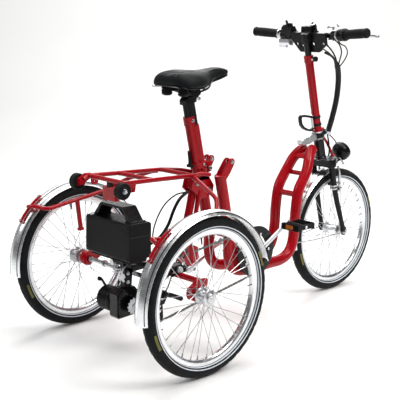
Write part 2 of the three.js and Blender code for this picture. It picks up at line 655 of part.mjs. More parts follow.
// Sections from the rear edge to the nose: x, half width, top z, bottom z.
const SADDLE_STATIONS = [
  [114, 46, 884, 860], [122, 74, 899, 854], [146, 93, 907, 851], [190, 98, 909, 851], [232, 84, 906, 854],
  [270, 56, 904, 862], [306, 36, 908, 868], [350, 28, 914, 876], [384, 22, 911, 884], [397, 13, 904, 890],
];
const SADDLE_DROOP = 16; // how far the widest flanks hang below the flat underside
const saddleRing = 12;
function saddleSection([x, w, top, bottom]) {
  const points = [];
  const middle = (top + bottom) / 2;
  const droop = SADDLE_DROOP * Math.min(1, Math.max(0, (w - 36) / 50));
  for (let i = 0; i < saddleRing; i++) {
    const a = (2 * Math.PI * i) / saddleRing;
    const flat = (value) => Math.sign(value) * Math.pow(Math.abs(value), 0.6);
    const hang = Math.sin(a) < -0.1 && Math.abs(Math.cos(a)) > 0.7 ? droop : 0;
    points.push(v(x, w * flat(Math.cos(a)), middle - hang + ((top - bottom) / 2) * flat(Math.sin(a))));
  }
  return points;
}

/** Closed skin through a row of sections with the same number of points. */
function loft(sections) {
  const count = sections[0].length;
  const position = sections.flat().flatMap((p) => p.toArray());
  const index = [];
  for (let s = 0; s < sections.length - 1; s++) {
    for (let i = 0; i < count; i++) {
      const a = s * count + i;
      const b = s * count + ((i + 1) % count);
      index.push(a, b, a + count, b, b + count, a + count);
    }
  }
  const end = (sections.length - 1) * count;
  for (let i = 1; i < count - 1; i++) {
    index.push(0, i + 1, i, end, end + i, end + i + 1);
  }
  const geometry = new THREE.BufferGeometry();
  geometry.setAttribute("position", new THREE.Float32BufferAttribute(position, 3));
  geometry.setIndex(index);
  return geometry;
}
node(vehicle, "saddle", loft(SADDLE_STATIONS.map(saddleSection)), VINYL());

// Saddle rails: one bent rod, nose to clamp to tail on each side.
const RAIL = [[350, 9, 869], [326, 16, 836], [262, 22, 836], [196, 22, 836], [168, 26, 845]];
const railRoute = [...RAIL.map(([x, y, z]) => v(x, y, z)).reverse(), ...RAIL.map(([x, y, z]) => v(x, -y, z))];
node(vehicle, "saddle_rails", union(
  tube(railRoute, 3.5, { sides: 6, bend: 14, bendSteps: 1 }),
  box(204, 250, -27, 27, 822, 842),
  tube([v(178, -34, 841), v(178, 34, 841)], 7, { sides: 6 }),
), BLACK());

// ---------------------------------------------------------------- fork and front wheel fittings

const FORK_Y = 45;
const crown = box(-18, 34, -FORK_Y - 11, FORK_Y + 11, HEAD_BOTTOM - 32, HEAD_BOTTOM - GAP);
const forkLeg = (side) => tube([
  v(4, side * FORK_Y, HEAD_BOTTOM - 20),
  v(6, side * (FORK_Y + 1), -250),
  v(FORK_OFFSET, side * 56, FRONT_AXLE_DROP),
], 11, { sides: 8, bend: 60, bendSteps: 2 });
const onAxle = (y) => v(FORK_OFFSET, y, FRONT_AXLE_DROP);
const dropout = (side) => tube([onAxle(side * 51), onAxle(side * 63)], 17, { sides: 10 });
const brakeBoss = (side) => tube([v(8, side * FORK_Y, -232), v(27, side * FORK_Y, -232)], 7, { sides: 8 });
const steerer = tube([v(0, 0, HEAD_BOTTOM - 10), v(0, 0, -4)], 12.5, { sides: 12 });
const baseCap = turned([[0, HEAD_TOP], [22, HEAD_TOP], [24, -8], [24, 3], [20, 8], [0, 8]], 16)
  .rotateX(Math.PI / 2);
const baseLobe = plate([[-96, -4], [-100, 4], [-92, 12], [-54, 16], [-20, 10], [-14, -8], [-20, HEAD_TOP + 1],
  [-84, HEAD_TOP + 1]], -14, 14);
const hingeEar = plate([[16, -2], [34, 0], [35, 10], [29, 16], [22, 8]], -16, 16);
const axleBore = tube([onAxle(-80), onAxle(80)], 7.5, { sides: 10 });
const hingeSlot = box(15, 60, -8.3, 8.3, 3, 40);
node(head, "fork", cut(
  union(
    crown, forkLeg(1), forkLeg(-1), dropout(1), dropout(-1), brakeBoss(1), brakeBoss(-1),
    steerer, baseCap, baseLobe, hingeEar,
  ),
  axleBore,
  hingeSlot,
), BLACK());

// Headlight drum, its bracket and the slanting stay from the base of the stem.
const lampDrum = tube([v(112, 0, -118.6), v(142, 0, -112)], 38, { sides: 16 });
const lampDome = tube([v(99, 0, -121.5), v(116, 0, -117.7)], 25, { sides: 12 });
const lampBracket = tube([v(62, 0, -122), v(94, 0, -144), v(122, 0, -146)], 5, { sides: 6 });
const lampStay = tube([v(30, 0, -10), v(58, 0, -60), v(74, 0, -122)], 5.5, { sides: 6 });
node(head, "headlight", cut(
  union(lampDrum, lampDome, lampBracket, lampStay),
  crown.clone().scale(1.01, 1, 1),
  baseCap.clone().scale(1.02, 1.02, 1),
), PLASTIC());

const FRONT_FENDER_TOP = 100;
const frontFender = sweep(fenderShape(), arc(0, 0, FENDER_RADIUS - 4, FRONT_FENDER_TOP, 190, 12));
const frontFenderMesh = node(vehicle, "front_fender", frontFender, SILVER());
frontFenderMesh.position.set(WHEELBASE, 0, AXLE_Z);

function brakeArm(side) {
  const lean = [
    v(36, side * 45, -244), v(38, side * 46, -214), v(42, side * 50, -160), v(42, side * 46, -142),
  ];
  const pad = box(-20, 20, -5, 5, -4, 4).translate(24, side * 19.5, -209.5);
  const post = tube([v(32, side * 21, -209.5), v(37, side * 45, -212)], 4, { sides: 6 });
  return union(tube(lean, 5.5, { sides: 6 }), pad, post);
}
node(head, "brake_arm_left", brakeArm(1), STEEL());
node(head, "brake_arm_right", brakeArm(-1), STEEL());

// ---------------------------------------------------------------- folding stem and handlebar

const STEM_HINGE_X = 28;
const STEM_TOP = 300;
const stemProfile = ring([[13, 24], [16, 24], [16, STEM_TOP - 16], [20, STEM_TOP - 16], [20, STEM_TOP + 12],
  [13, STEM_TOP + 12]]);
const stemFoot = turned([[0, 9], [20, 9], [20, 20], [16, 26], [13.5, 26], [0, 25]], 14).rotateX(Math.PI / 2);
const hingeTongue = box(10, STEM_HINGE_X + 3, -8, 8, 9, 18);
const clampKnob = tube([v(0, -18, STEM_TOP), v(0, -38, STEM_TOP - 2)], 9, { sides: 10 });
const stemShaft = turned(stemProfile, 14).rotateX(Math.PI / 2);
node(head, "stem_tube", union(stemShaft, stemFoot, hingeTongue, clampKnob), RED());

const LATCH = [
  [-24, 30], [-40, 28], [-60, 36], [-80, 50], [-92, 68], [-92, 94], [-84, 99], [-60, 92], [-24, 76],
];
const latchRoute = LATCH.map(([x, z]) => v(x, 0, z));
node(head, "stem_latch", tube(latchRoute, 4.5, { sides: 6, bend: 8, bendSteps: 1 }), BLACK());

const barEnd = { x: 15, z: 396 };
const barRoute = [
  v(barEnd.x, BAR_HALF_SPAN, barEnd.z), v(BAR_FORWARD, 110, BAR_HEIGHT),
  v(BAR_FORWARD, -110, BAR_HEIGHT), v(barEnd.x, -BAR_HALF_SPAN, barEnd.z),
];
const PLATE_OUTLINE = [[-84, 392], [78, 396], [84, 372], [46, 322], [-50, 322], [-84, 350]];
const barPlateShape = new THREE.Shape(PLATE_OUTLINE.map(([y, z]) => new THREE.Vector2(y, z)));
for (const [y, z] of [[56, 352], [31, 346], [-17, 353]]) {
  const rim = circle(4.5, 8).getPoints().map((p) => p.add(new THREE.Vector2(y, z)));
  barPlateShape.holes.push(new THREE.Path(rim));
}
const barPlate = new THREE.ExtrudeGeometry(barPlateShape, { depth: 10, bevelEnabled: false });
barPlate.rotateX(Math.PI / 2).rotateZ(Math.PI / 2).translate(8, 0, 0);
const post = turned([[0, 60], [12.6, 60], [12.6, 384], [0, 384]], 14).rotateX(Math.PI / 2);
const barClamp = box(0, 52, -22, 22, BAR_HEIGHT - 16, BAR_HEIGHT + 20);
const bar = tube(barRoute, 11, { sides: 10, bend: 16, bendSteps: 2 });
node(head, "handlebar", union(bar, barPlate, post, barClamp), BLACK());

/** A sleeve along the outer part of the bar, from y0 to y1 on one side. */
function barSleeve(side, y0, y1, radius, bore = 11 + GAP) {
  const at = (y) => {
    const t = (y - 110) / (BAR_HALF_SPAN - 110);
    return v(BAR_FORWARD + (barEnd.x - BAR_FORWARD) * t, side * y, BAR_HEIGHT + (barEnd.z - BAR_HEIGHT) * t);
  };
  return cut(
    solid(tube([at(y0), at(y1)], radius, { sides: 12 })),
    tube([at(100), at(BAR_HALF_SPAN + 0.5)], bore, { sides: 10 }),
  );
}
node(head, "grip_left", barSleeve(1, 160, GRIP_END, 16), RUBBER());
node(head, "grip_right", barSleeve(-1, 169, GRIP_END, 16), RUBBER());
node(head, "twist_shifter", barSleeve(-1, 130, 168, 22, 12.2), PLASTIC());

function brakeLever(side) {
  const route = [
    v(50, side * 108, 380), v(76, side * 132, 374), v(82, side * 184, 372), v(70, side * 274, 380),
  ];
  return solid(tube(route, 6, { sides: 6, bend: 14, bendSteps: 2 }));
}
node(head, "brake_lever_left", brakeLever(1), SILVER());
node(head, "brake_lever_right", brakeLever(-1), SILVER());

// Cable bundle from the bar down to the foot of the stem, held at both ends.
const CABLES = [
  [24, -62, 318], [70, -56, 290], [104, -46, 250], [118, -36, 200], [104, -28, 120], [78, -18, 50],
  [52, -10, 4],
];
node(head, "cable_bundle", smoothTube(CABLES.map((p) => v(...p)), 9, 16, 8), PLASTIC());

// The origin is the bottom centre of the whole vehicle.
const bounds = new THREE.Box3().setFromObject(vehicle, true);
vehicle.position.x -= (bounds.min.x + bounds.max.x) / 2;

export default tricycle;
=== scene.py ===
"""Folding electric adult tricycle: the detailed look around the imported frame.

Lengths are in millimetres in three frames. VEHICLE has x forward from the rear axle, y to the rider's left
and z up from the ground. HEAD has z up the steering axis from the foot of the stem. MAST has z up the seat
mast from its hinge. A place in the scene is in metres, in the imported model's own frame.
"""

import json
import math

import bmesh
import bpy
from mathutils import Matrix, Vector
from mathutils.geometry import tessellate_polygon


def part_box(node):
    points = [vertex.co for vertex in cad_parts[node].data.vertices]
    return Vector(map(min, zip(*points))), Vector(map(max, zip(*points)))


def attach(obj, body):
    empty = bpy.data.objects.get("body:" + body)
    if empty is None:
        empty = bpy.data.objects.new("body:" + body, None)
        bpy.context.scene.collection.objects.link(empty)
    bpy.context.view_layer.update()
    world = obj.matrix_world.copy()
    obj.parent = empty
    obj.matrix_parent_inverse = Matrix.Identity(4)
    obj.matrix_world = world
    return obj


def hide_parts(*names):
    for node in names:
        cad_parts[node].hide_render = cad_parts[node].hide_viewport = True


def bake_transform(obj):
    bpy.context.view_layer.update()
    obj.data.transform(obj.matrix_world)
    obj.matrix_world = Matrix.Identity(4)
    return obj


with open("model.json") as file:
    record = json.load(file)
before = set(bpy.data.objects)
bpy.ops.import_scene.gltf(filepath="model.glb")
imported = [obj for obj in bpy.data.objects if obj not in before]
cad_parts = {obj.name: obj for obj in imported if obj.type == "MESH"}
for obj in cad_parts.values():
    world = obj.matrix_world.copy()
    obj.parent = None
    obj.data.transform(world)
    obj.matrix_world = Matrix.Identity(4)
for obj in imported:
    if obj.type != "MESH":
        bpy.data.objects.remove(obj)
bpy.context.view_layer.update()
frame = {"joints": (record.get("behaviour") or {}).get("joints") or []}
JOINTS = {joint["name"]: joint for joint in frame["joints"]}

AHEAD, BACK = (1, 0, 0), (-1, 0, 0)
LEFT, RIGHT = (0, 1, 0), (0, -1, 0)
UP = (0, 0, 1)


def centre(node):
    low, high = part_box(node)
    return (low + high) / 2


def leaning(origin, up):
    """A frame with z along up, y to the rider's left and x forward, in millimetres."""
    z = Vector(up).normalized()
    y = Vector(LEFT)
    turned_axes = Matrix((y.cross(z), y, z)).transposed().to_4x4()
    turned_axes.translation = Vector(origin)
    return turned_axes @ Matrix.Scale(0.001, 4)


VEHICLE = Matrix.Translation((centre("rim_rear_left").x, 0, 0)) @ Matrix.Scale(0.001, 4)
HEAD = leaning(JOINTS["steering"]["pos_m"], JOINTS["steering"]["axis"])
MAST = leaning(JOINTS["seat_mast_fold"]["pos_m"], JOINTS["seat_post_slide"]["axis"])


def in_vehicle(node):
    """Middle of a CAD node, in the VEHICLE frame."""
    return VEHICLE.inverted() @ centre(node)


# ---------------------------------------------------------------- sizes

WHEEL_Z = in_vehicle("rim_front").z
WHEELBASE = in_vehicle("rim_front").x
REAR_WHEEL_Y = in_vehicle("rim_rear_left").y
TYRE_RADIUS = 248
TYRE_HALF_HEIGHT = 21
TYRE_HALF_WIDTH = 22.4
RIM_RADIUS = 210
FENDER_RADIUS = 268

BRACKET = (475, 263)  # x and z of the crank axis
CHAIN_Y = -78
RING_RADIUS = 86
COG_RADIUS = 36
PULLEY_RADIUS = 18
GUIDE_PULLEY = (22, 176)
TENSION_PULLEY = (26, 116)
CRANK_LENGTH = 172
CRANK_ANGLE = math.radians(29)

FRAME_TUBE_Y = 50
FRAME_TUBE_RADIUS = 20
FORK_OFFSET = 19.5
FRONT_AXLE_DROP = -412.5
BAR_FORWARD = 33
BAR_HEIGHT = 381
BAR_BEND = 110  # distance out where the bar starts to slope
BAR_HALF_SPAN = 262
GRIP_END = 268
BAR_END = (15, 396)  # x and z of the bar's ends, in the HEAD frame
MAST_X = -28  # middle of the mast, in the MAST frame
SIDES = (("left", 1), ("right", -1))


# ---------------------------------------------------------------- routes


def spline(points, steps=8):
    """Centripetal curve through the points."""
    points = [Vector(p) for p in points]
    ends = [2 * points[0] - points[1], *points, 2 * points[-1] - points[-2]]
    route = []
    for p0, p1, p2, p3 in zip(ends, ends[1:], ends[2:], ends[3:]):
        t1 = (p1 - p0).length ** 0.5
        t2 = t1 + (p2 - p1).length ** 0.5
        t3 = t2 + (p3 - p2).length ** 0.5
        for step in range(steps):
            t = t1 + (t2 - t1) * step / steps
            a1 = p0.lerp(p1, t / t1)
            a2 = p1.lerp(p2, (t - t1) / (t2 - t1))
            a3 = p2.lerp(p3, (t - t2) / (t3 - t2))
            b1 = a1.lerp(a2, t / t2)
            b2 = a2.lerp(a3, (t - t1) / (t3 - t1))
            route.append(b1.lerp(b2, (t - t1) / (t2 - t1)))
    return [*route, points[-1]]


def bent(points, setback, steps=6):
    """Straight runs through the points, with each corner rounded from setback before it."""
    points = [Vector(p) for p in points]
    route = [points[0]]
    for before, corner, after in zip(points, points[1:], points[2:]):
        back = min(setback, (before - corner).length / 2.05, (after - corner).length / 2.05)
        start = corner + (before - corner).normalized() * back
        end = corner + (after - corner).normalized() * back
        for step in range(steps + 1):
            t = step / steps
            route.append(start.lerp(corner, t).lerp(corner.lerp(end, t), t))
    return [*route, points[-1]]


def arc(cx, cz, radius, start, end, steps, y=0.0):
    angles = [math.radians(start + (end - start) * i / steps) for i in range(steps + 1)]
    return [Vector((cx + radius * math.cos(a), y, cz + radius * math.sin(a))) for a in angles]


def mirrored(points):
    return [Vector((p[0], -p[1], p[2])) for p in points]


def handed(place, side):
    """A frame of reference, mirrored to the rider's right where side is -1."""
    return place @ Matrix.Diagonal((1, side, 1, 1))


def span(side, near, far):
    """Low and high y of a plate that lies from near to far out on one side."""
    return sorted((side * near, side * far))


def placed(spot, y):
    """A spot given by its x and z, at a distance y to the left."""
    return (spot[0], y, spot[1])


def both_ways(half, *middle):
    """Half of an outline, its middle point if it has one, and the half mirrored in the second number."""
    return [*half, *middle, *((a, -b) for a, b in reversed(half))]


def bar_across(x, z, half_width):
    return [(x, -half_width, z), (x, half_width, z)]


def ray(angle):
    """Unit vector in the xz plane; angle 0 is forward, a quarter turn is up."""
    return Vector((math.cos(angle), 0, math.sin(angle)))


# ---------------------------------------------------------------- shapes


class Shape:
    """Closed bodies drawn in one of the three frames, which become one piece."""

    def __init__(self, place=VEHICLE):
        self.place = place
        self.points = []
        self.faces = []

    def add(self, points, faces):
        base = len(self.points)
        self.points += [self.place @ Vector(p) for p in points]
        self.faces += [[base + i for i in face] for face in faces]
        return self

    def loft(self, rings, closed=False, caps=True):
        """A skin through rings of points, each with the same count."""
        count = len(rings[0])
        faces = []
        for r in range(len(rings) if closed else len(rings) - 1):
            low, high = r * count, (r + 1) % len(rings) * count
            for i in range(count):
                j = (i + 1) % count
                faces.append((low + i, low + j, high + j, high + i))
        if caps and not closed:
            faces.append(tuple(reversed(range(count))))
            faces.append(tuple(range((len(rings) - 1) * count, len(rings) * count)))
        return self.add([p for ring in rings for p in ring], faces)

    def tube(self, route, radius, sides=20, closed=False):
        """A round tube along a route; radius is a number or a function of the distance along from 0 to 1."""
        route = [Vector(p) for p in route]
        lengths = [0.0]
        for a, b in zip(route, route[1:]):
            lengths.append(lengths[-1] + (b - a).length)
        size = radius if callable(radius) else lambda t: radius
        last = len(route) - 1
        rings = []
        side = None
        for i, p in enumerate(route):
            before = route[i - 1] if i or closed else p
            after = route[(i + 1) % len(route)] if i < last or closed else p
            along = ((p - before).normalized() + (after - p).normalized()).normalized()
            if side is None:
                side = along.orthogonal().normalized()
            side = (side - along * side.dot(along)).normalized()
            up = along.cross(side)
            r = size(lengths[i] / lengths[-1])
            stretch = 1.0
            if before != p and after != p:
                stretch = 1 / max(0.5, math.cos((p - before).angle(after - p) / 2))
            r *= min(stretch, 1.08)
            ring = []
            for s in range(sides):
                a = math.tau * s / sides
                ring.append(p + side * (r * math.cos(a)) + up * (r * math.sin(a)))
            rings.append(ring)
        return self.loft(rings, closed)

    def turn(self, profile, origin=(0, 0, 0), axis=LEFT, segments=48, ring=False, start=0, end=360):
        """A body turned about an axis from [radius, along] points; angle 0 is forward, 90 is up."""
        origin = Vector(origin)
        axis = Vector(axis).normalized()
        across = Vector(AHEAD) if abs(axis.y) > 0.9 else Vector(LEFT)
        u = (across - axis * across.dot(axis)).normalized()
        w = u.cross(axis)
        full = end - start >= 360
        columns = []
        for i in range(segments if full else segments + 1):
            a = math.radians(start + (end - start) * i / segments)
            out = u * math.cos(a) + w * math.sin(a)
            columns.append([origin + out * r + axis * along for r, along in profile])
        if ring:
            return self.loft(columns, closed=full)
        count = len(profile)
        faces = []
        for c in range(len(columns) if full else len(columns) - 1):
            low, high = c * count, (c + 1) % len(columns) * count
            faces += [(low + i, low + i + 1, high + i + 1, high + i) for i in range(count - 1)]
        if full:
            for i in (0, count - 1):
                if profile[i][0] > 0:
                    faces.append(tuple(c * count + i for c in range(len(columns))))
        return self.add([p for column in columns for p in column], faces)

    def disc(self, origin, axis, radius, height, segments=24, chamfer=0.6):
        c = min(chamfer, height / 3, radius / 3)
        profile = [
            (0, 0), (radius - c, 0), (radius, c), (radius, height - c), (radius - c, height), (0, height),
        ]
        return self.turn(profile, origin, axis, segments)

    def bolt(self, origin, axis, size=5.0, height=4.0, washer=True):
        """A hexagon head on a washer, or a socket cap without one."""
        origin = Vector(origin)
        axis = Vector(axis).normalized()
        if washer:
            self.disc(origin, axis, size * 1.25, 1.0)
            return self.disc(origin + axis, axis, size, height, segments=6, chamfer=0.8)
        rim = [(0, 0), (size, 0), (size, height - 0.6), (size - 0.6, height), (size * 0.5, height)]
        return self.turn([*rim, (size * 0.5, height * 0.4), (0, height * 0.4)], origin, axis, 24)

    def block(self, low, high):
        (x0, y0, z0), (x1, y1, z1) = low, high
        near = [(x0, y0, z0), (x1, y0, z0), (x1, y0, z1), (x0, y0, z1)]
        far = [(x0, y1, z0), (x1, y1, z0), (x1, y1, z1), (x0, y1, z1)]
        return self.loft([near, far])

    def plate(self, outline, low, high, holes=(), flat="xz", sides=20):
        """A flat plate with its outline in the xz, yz or xy plane, from low to high across it."""
        loops = [[Vector((a, b, 0)) for a, b in outline]]
        for a, b, r in holes:
            angles = [math.tau * i / sides for i in range(sides)]
            loops.append([Vector((a + r * math.cos(t), b + r * math.sin(t), 0)) for t in angles])
        spread = {
            "xz": lambda p, c: (p.x, c, p.y),
            "yz": lambda p, c: (c, p.x, p.y),
            "xy": lambda p, c: (p.x, p.y, c),
        }[flat]
        flat_points = [p for loop in loops for p in loop]
        count = len(flat_points)
        lid = [tuple(range(count))] if not holes else [tuple(t) for t in tessellate_polygon(loops)]
        faces = lid + [tuple(count + i for i in reversed(face)) for face in lid]
        base = 0
        for loop in loops:
            for i in range(len(loop)):
                j = (i + 1) % len(loop)
                faces.append((base + i, base + j, count + base + j, count + base + i))
            base += len(loop)
        both = [spread(p, low) for p in flat_points] + [spread(p, high) for p in flat_points]
        return self.add(both, faces)

    def mesh(self, name):
        mesh = bpy.data.meshes.new(name)
        mesh.from_pydata([tuple(p) for p in self.points], [], self.faces)
        shaped = bmesh.new()
        shaped.from_mesh(mesh)
        bmesh.ops.remove_doubles(shaped, verts=shaped.verts, dist=2e-6)
        bmesh.ops.recalc_face_normals(shaped, faces=shaped.faces)
        shaped.to_mesh(mesh)
        shaped.free()
        return mesh

    def piece(self, name, body, material, replaces=(), bevel=0.0, level=0, crease=32):
        """Makes the piece, rides it on its body and lets it stand for CAD nodes. bevel is in millimetres."""
        made = bpy.data.objects.new(name, self.mesh(name))
        bpy.context.scene.collection.objects.link(made)
        return dress(made, body, material, replaces, bevel, level, crease)

    def stands(self, name, body, material, **look):
        """Makes the piece that stands for the CAD node of the same name."""
        return self.piece(name, body, material, name, **look)


def dress(made, body, material, replaces=(), bevel=0.0, level=0, crease=32):
    made.data.materials.clear()
    made.data.materials.append(material)
    made.data.shade_smooth()
    if not level:
        made.data.set_sharp_from_angle(angle=math.radians(crease))
    if bevel:
        rounded = made.modifiers.new("rounded", "BEVEL")
        rounded.width = bevel / 1000
        rounded.segments = 3
        rounded.limit_method = "ANGLE"
        rounded.angle_limit = math.radians(30)
        rounded.harden_normals = True
    if level:
        smooth = made.modifiers.new("smooth", "SUBSURF")
        smooth.levels = level
        smooth.render_levels = level
    if body:
        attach(made, body)
    if replaces:
        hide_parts(*([replaces] if isinstance(replaces, str) else replaces))
    return made


# ---------------------------------------------------------------- materials


class Surface:
    """A Principled material whose colour, roughness and relief come from procedural textures."""

    def __init__(self, name, slot, colour, roughness, metal=0.0):
        self.material = bpy.data.materials.new(name)
        self.material.use_nodes = True
        self.material["slot"] = slot
        self.tree = self.material.node_tree
        self.shader = self.tree.nodes["Principled BSDF"]
        self.shader.inputs["Metallic"].default_value = metal
        self.place = self.node("ShaderNodeTexCoord").outputs["Object"]
        self.colour = colour
        self.roughness = roughness
        self.relief = None

    def node(self, kind, **inputs):
        made = self.tree.nodes.new(kind)
        for name, value in inputs.items():
            socket = made.inputs[name.replace("_", " ")]
            if isinstance(value, bpy.types.NodeSocket):
                self.tree.links.new(value, socket)
            else:
                socket.default_value = value
        return made

    def noise(self, scale, detail=3.0, stretch=(1, 1, 1)):
        moved = self.node("ShaderNodeMapping", Vector=self.place, Scale=stretch)
        return self.node(
            "ShaderNodeTexNoise", Vector=moved.outputs["Vector"], Scale=scale, Detail=detail
        ).outputs["Fac"]

    def between(self, value, low, high, start=0.3, end=0.7):
        made = self.node("ShaderNodeMapRange", Value=value)
        for name, number in (("From Min", start), ("From Max", end), ("To Min", low), ("To Max", high)):
            made.inputs[name].default_value = number
        return made.outputs["Result"]

    def blend(self, share, a, b):
        made = self.tree.nodes.new("ShaderNodeMix")
        made.data_type = "RGBA"
        self.tree.links.new(share, made.inputs["Factor"])
        for socket, value in ((made.inputs[6], a), (made.inputs[7], b)):
            if isinstance(value, bpy.types.NodeSocket):
                self.tree.links.new(value, socket)
            else:
                socket.default_value = (*value, 1)
        return made.outputs[2]

    def vary(self, scale=18.0, colour=0.12, roughness=0.06, stretch=(1, 1, 1)):
        """Broad uneven patches in the colour and the gloss."""
        cloud = self.noise(scale, 4.0, stretch)
        darker = tuple(c * (1 - colour) for c in self.colour)
        lighter = tuple(min(1.0, c * (1 + colour)) for c in self.colour)
        self.tint = self.blend(self.between(cloud, 0, 1), darker, lighter)
        smear = self.noise(scale * 2.7, 6.0, stretch)
        low = max(0.02, self.roughness - roughness)
        self.gloss = self.between(smear, low, self.roughness + roughness)
        return self

    def raised(self, height, strength, depth=0.0002):
        bump = self.node("ShaderNodeBump", Height=height, Strength=strength, Distance=depth)
        if self.relief is not None:
            self.tree.links.new(self.relief, bump.inputs["Normal"])
        self.relief = bump.outputs["Normal"]
        return self

    def wear_and_hollow_shade(self, rubbed_or_shaded, start=0.53, end=0.6, amount=0.7):
        """Edges and corners rubbed towards another colour where start is below end; where start is above end,
        the hollows are darkened towards it instead as painted shade.
        """
        # pointiness mask: convex edges for rubbed wear, or hollows for painted shade when start is above end
        edge = self.between(self.node("ShaderNodeNewGeometry").outputs["Pointiness"], 0, amount, start, end)
        patchy = self.node("ShaderNodeMath")
        patchy.operation = "MULTIPLY"
        self.tree.links.new(edge, patchy.inputs[0])
        self.tree.links.new(self.between(self.noise(240.0), 0.2, 1), patchy.inputs[1])
        self.tint = self.blend(patchy.outputs["Value"], self.tint, rubbed_or_shaded)
        return self

    def done(self, coat=0.0, coat_roughness=0.06, specular=0.3, sheen=0.0):
        inputs = self.shader.inputs
        self.tree.links.new(self.tint, inputs["Base Color"])
        self.tree.links.new(self.gloss, inputs["Roughness"])
        if self.relief is not None:
            self.tree.links.new(self.relief, inputs["Normal"])
        inputs["Coat Weight"].default_value = coat
        inputs["Coat Roughness"].default_value = coat_roughness
        inputs["Specular IOR Level"].default_value = specular
        inputs["Sheen Weight"].default_value = sheen
        return self.material


def painted(name, slot, colour, roughness, coat):
    made = Surface(name, slot, colour, roughness).vary(9.0, 0.1, 0.05)
    made.raised(made.noise(420.0, 2.0), 0.12, 0.00012)
    made.raised(made.noise(38.0, 2.0), 0.05, 0.0006)
    return made.wear_and_hollow_shade(
        tuple(min(1, c * 1.4 + 0.008) for c in colour), 0.54, 0.62, 0.5,
    ).done(coat, specular=0.17)


def bare_metal(name, slot, colour, roughness, brushing=(1, 1, 1), scale=260.0, strength=0.12):
    made = Surface(name, slot, colour, roughness, metal=1.0).vary(14.0, 0.1, 0.07)
    made.raised(made.noise(scale, 5.0, brushing), strength, 0.0001)
    # hollows (low pointiness) darkened to 0.62 of the colour: painted shade, not wear
    return made.wear_and_hollow_shade(tuple(c * 0.62 for c in colour), 0.42, 0.36, 0.55).done()


def moulded(name, slot, colour, roughness, grain=700.0, strength=0.25, coat=0.0):
    made = Surface(name, slot, colour, roughness).vary(22.0, 0.16, 0.07)
    made.raised(made.noise(grain, 3.0), strength, 0.0002)
    return made.wear_and_hollow_shade(
        tuple(min(1, c * 2.2 + 0.01) for c in colour), 0.54, 0.64, 0.45,
    ).done(coat, specular=0.13)


def rubbery(name, slot, colour, roughness):
    made = Surface(name, slot, colour, roughness).vary(30.0, 0.25, 0.08)
    made.raised(made.noise(900.0, 4.0), 0.35, 0.0002)
    made.raised(made.noise(120.0, 2.0), 0.1, 0.0004)
    return made.wear_and_hollow_shade((0.03, 0.03, 0.03), 0.53, 0.62, 0.35).done(0.0, specular=0.14, sheen=0.04)


def leathery(name, slot, colour, roughness):
    made = Surface(name, slot, colour, roughness).vary(16.0, 0.2, 0.06)
    cells = made.tree.nodes.new("ShaderNodeTexVoronoi")
    cells.feature = "DISTANCE_TO_EDGE"
    cells.inputs["Scale"].default_value = 620.0
    made.tree.links.new(made.place, cells.inputs["Vector"])
    made.raised(made.between(cells.outputs["Distance"], 0, 1, 0.0, 0.12), 0.3, 0.0003)
    made.raised(made.noise(60.0, 4.0), 0.12, 0.0008)
    return made.wear_and_hollow_shade((0.05, 0.052, 0.056), 0.53, 0.6, 0.3).done(specular=0.12)


def braided(name, slot, colour, roughness, fleck):
    made = Surface(name, slot, colour, roughness).vary(60.0, 0.2, 0.08)
    weave = made.tree.nodes.new("ShaderNodeTexVoronoi")
    weave.inputs["Scale"].default_value = 430.0
    made.tree.links.new(made.place, weave.inputs["Vector"])
    made.tint = made.blend(made.between(weave.outputs["Distance"], 0.75, 0, 0.05, 0.28), made.tint, fleck)
    made.raised(weave.outputs["Distance"], 0.5, 0.0004)
    return made.done()


def lens(name, slot, colour):
    made = Surface(name, slot, colour, 0.12).vary(40.0, 0.15, 0.04)
    made.raised(made.noise(300.0, 1.0), 0.2, 0.0003)
    made.shader.inputs["Transmission Weight"].default_value = 0.15
    made.shader.inputs["Subsurface Weight"].default_value = 0.3
    made.shader.inputs["Subsurface Radius"].default_value = (0.008, 0.002, 0.002)
    return made.done(0.8, 0.03)


RED = painted("gloss_red_powder_coat", "red_paint", (0.35, 0.0015, 0.007), 0.24, 0.16)
BLACK = painted("satin_black_paint", "black_paint", (0.005, 0.0052, 0.006), 0.36, 0.08)
GLOSS_BLACK = painted("gloss_black_paint", "black_paint", (0.0035, 0.0036, 0.0045), 0.2, 0.25)
POLISHED = bare_metal(
    "polished_fender_alloy", "polished_alloy", (0.84, 0.855, 0.87), 0.26, (1, 0.2, 1), 90.0, 0.05,
)
RIM_ALLOY = bare_metal("brushed_rim_alloy", "polished_alloy", (0.78, 0.79, 0.81), 0.24)
CAST = bare_metal("cast_alloy", "steel", (0.62, 0.63, 0.65), 0.34, scale=380.0, strength=0.3)
STEEL = bare_metal("plated_steel", "steel", (0.55, 0.56, 0.58), 0.24)
SPOKE_STEEL = bare_metal("drawn_spoke_wire", "steel", (0.42, 0.43, 0.45), 0.3, scale=900.0, strength=0.08)
CHAIN_STEEL = bare_metal("oiled_chain_steel", "steel", (0.16, 0.155, 0.15), 0.36, scale=700.0, strength=0.25)
TYRE = rubbery("tyre_rubber", "tyre_rubber", (0.0065, 0.0068, 0.008), 0.68)
GRIP = rubbery("grip_rubber", "grip_rubber", (0.0065, 0.0068, 0.0075), 0.6)
PLASTIC = moulded("grained_black_plastic", "black_plastic", (0.005, 0.005, 0.0052), 0.42)
SMOOTH_PLASTIC = moulded(
    "smooth_black_plastic", "black_plastic", (0.004, 0.004, 0.0046), 0.28, 300.0, 0.08, 0.12,
)
VINYL = leathery("saddle_vinyl", "saddle_cover", (0.0065, 0.0078, 0.0085), 0.5)
SLEEVE = braided("braided_cable_sleeve", "black_plastic", (0.007, 0.007, 0.0075), 0.5, (0.13, 0.13, 0.135))
HOUSING = moulded("cable_housing", "black_plastic", (0.0045, 0.0045, 0.005), 0.35, 800.0, 0.1, 0.08)
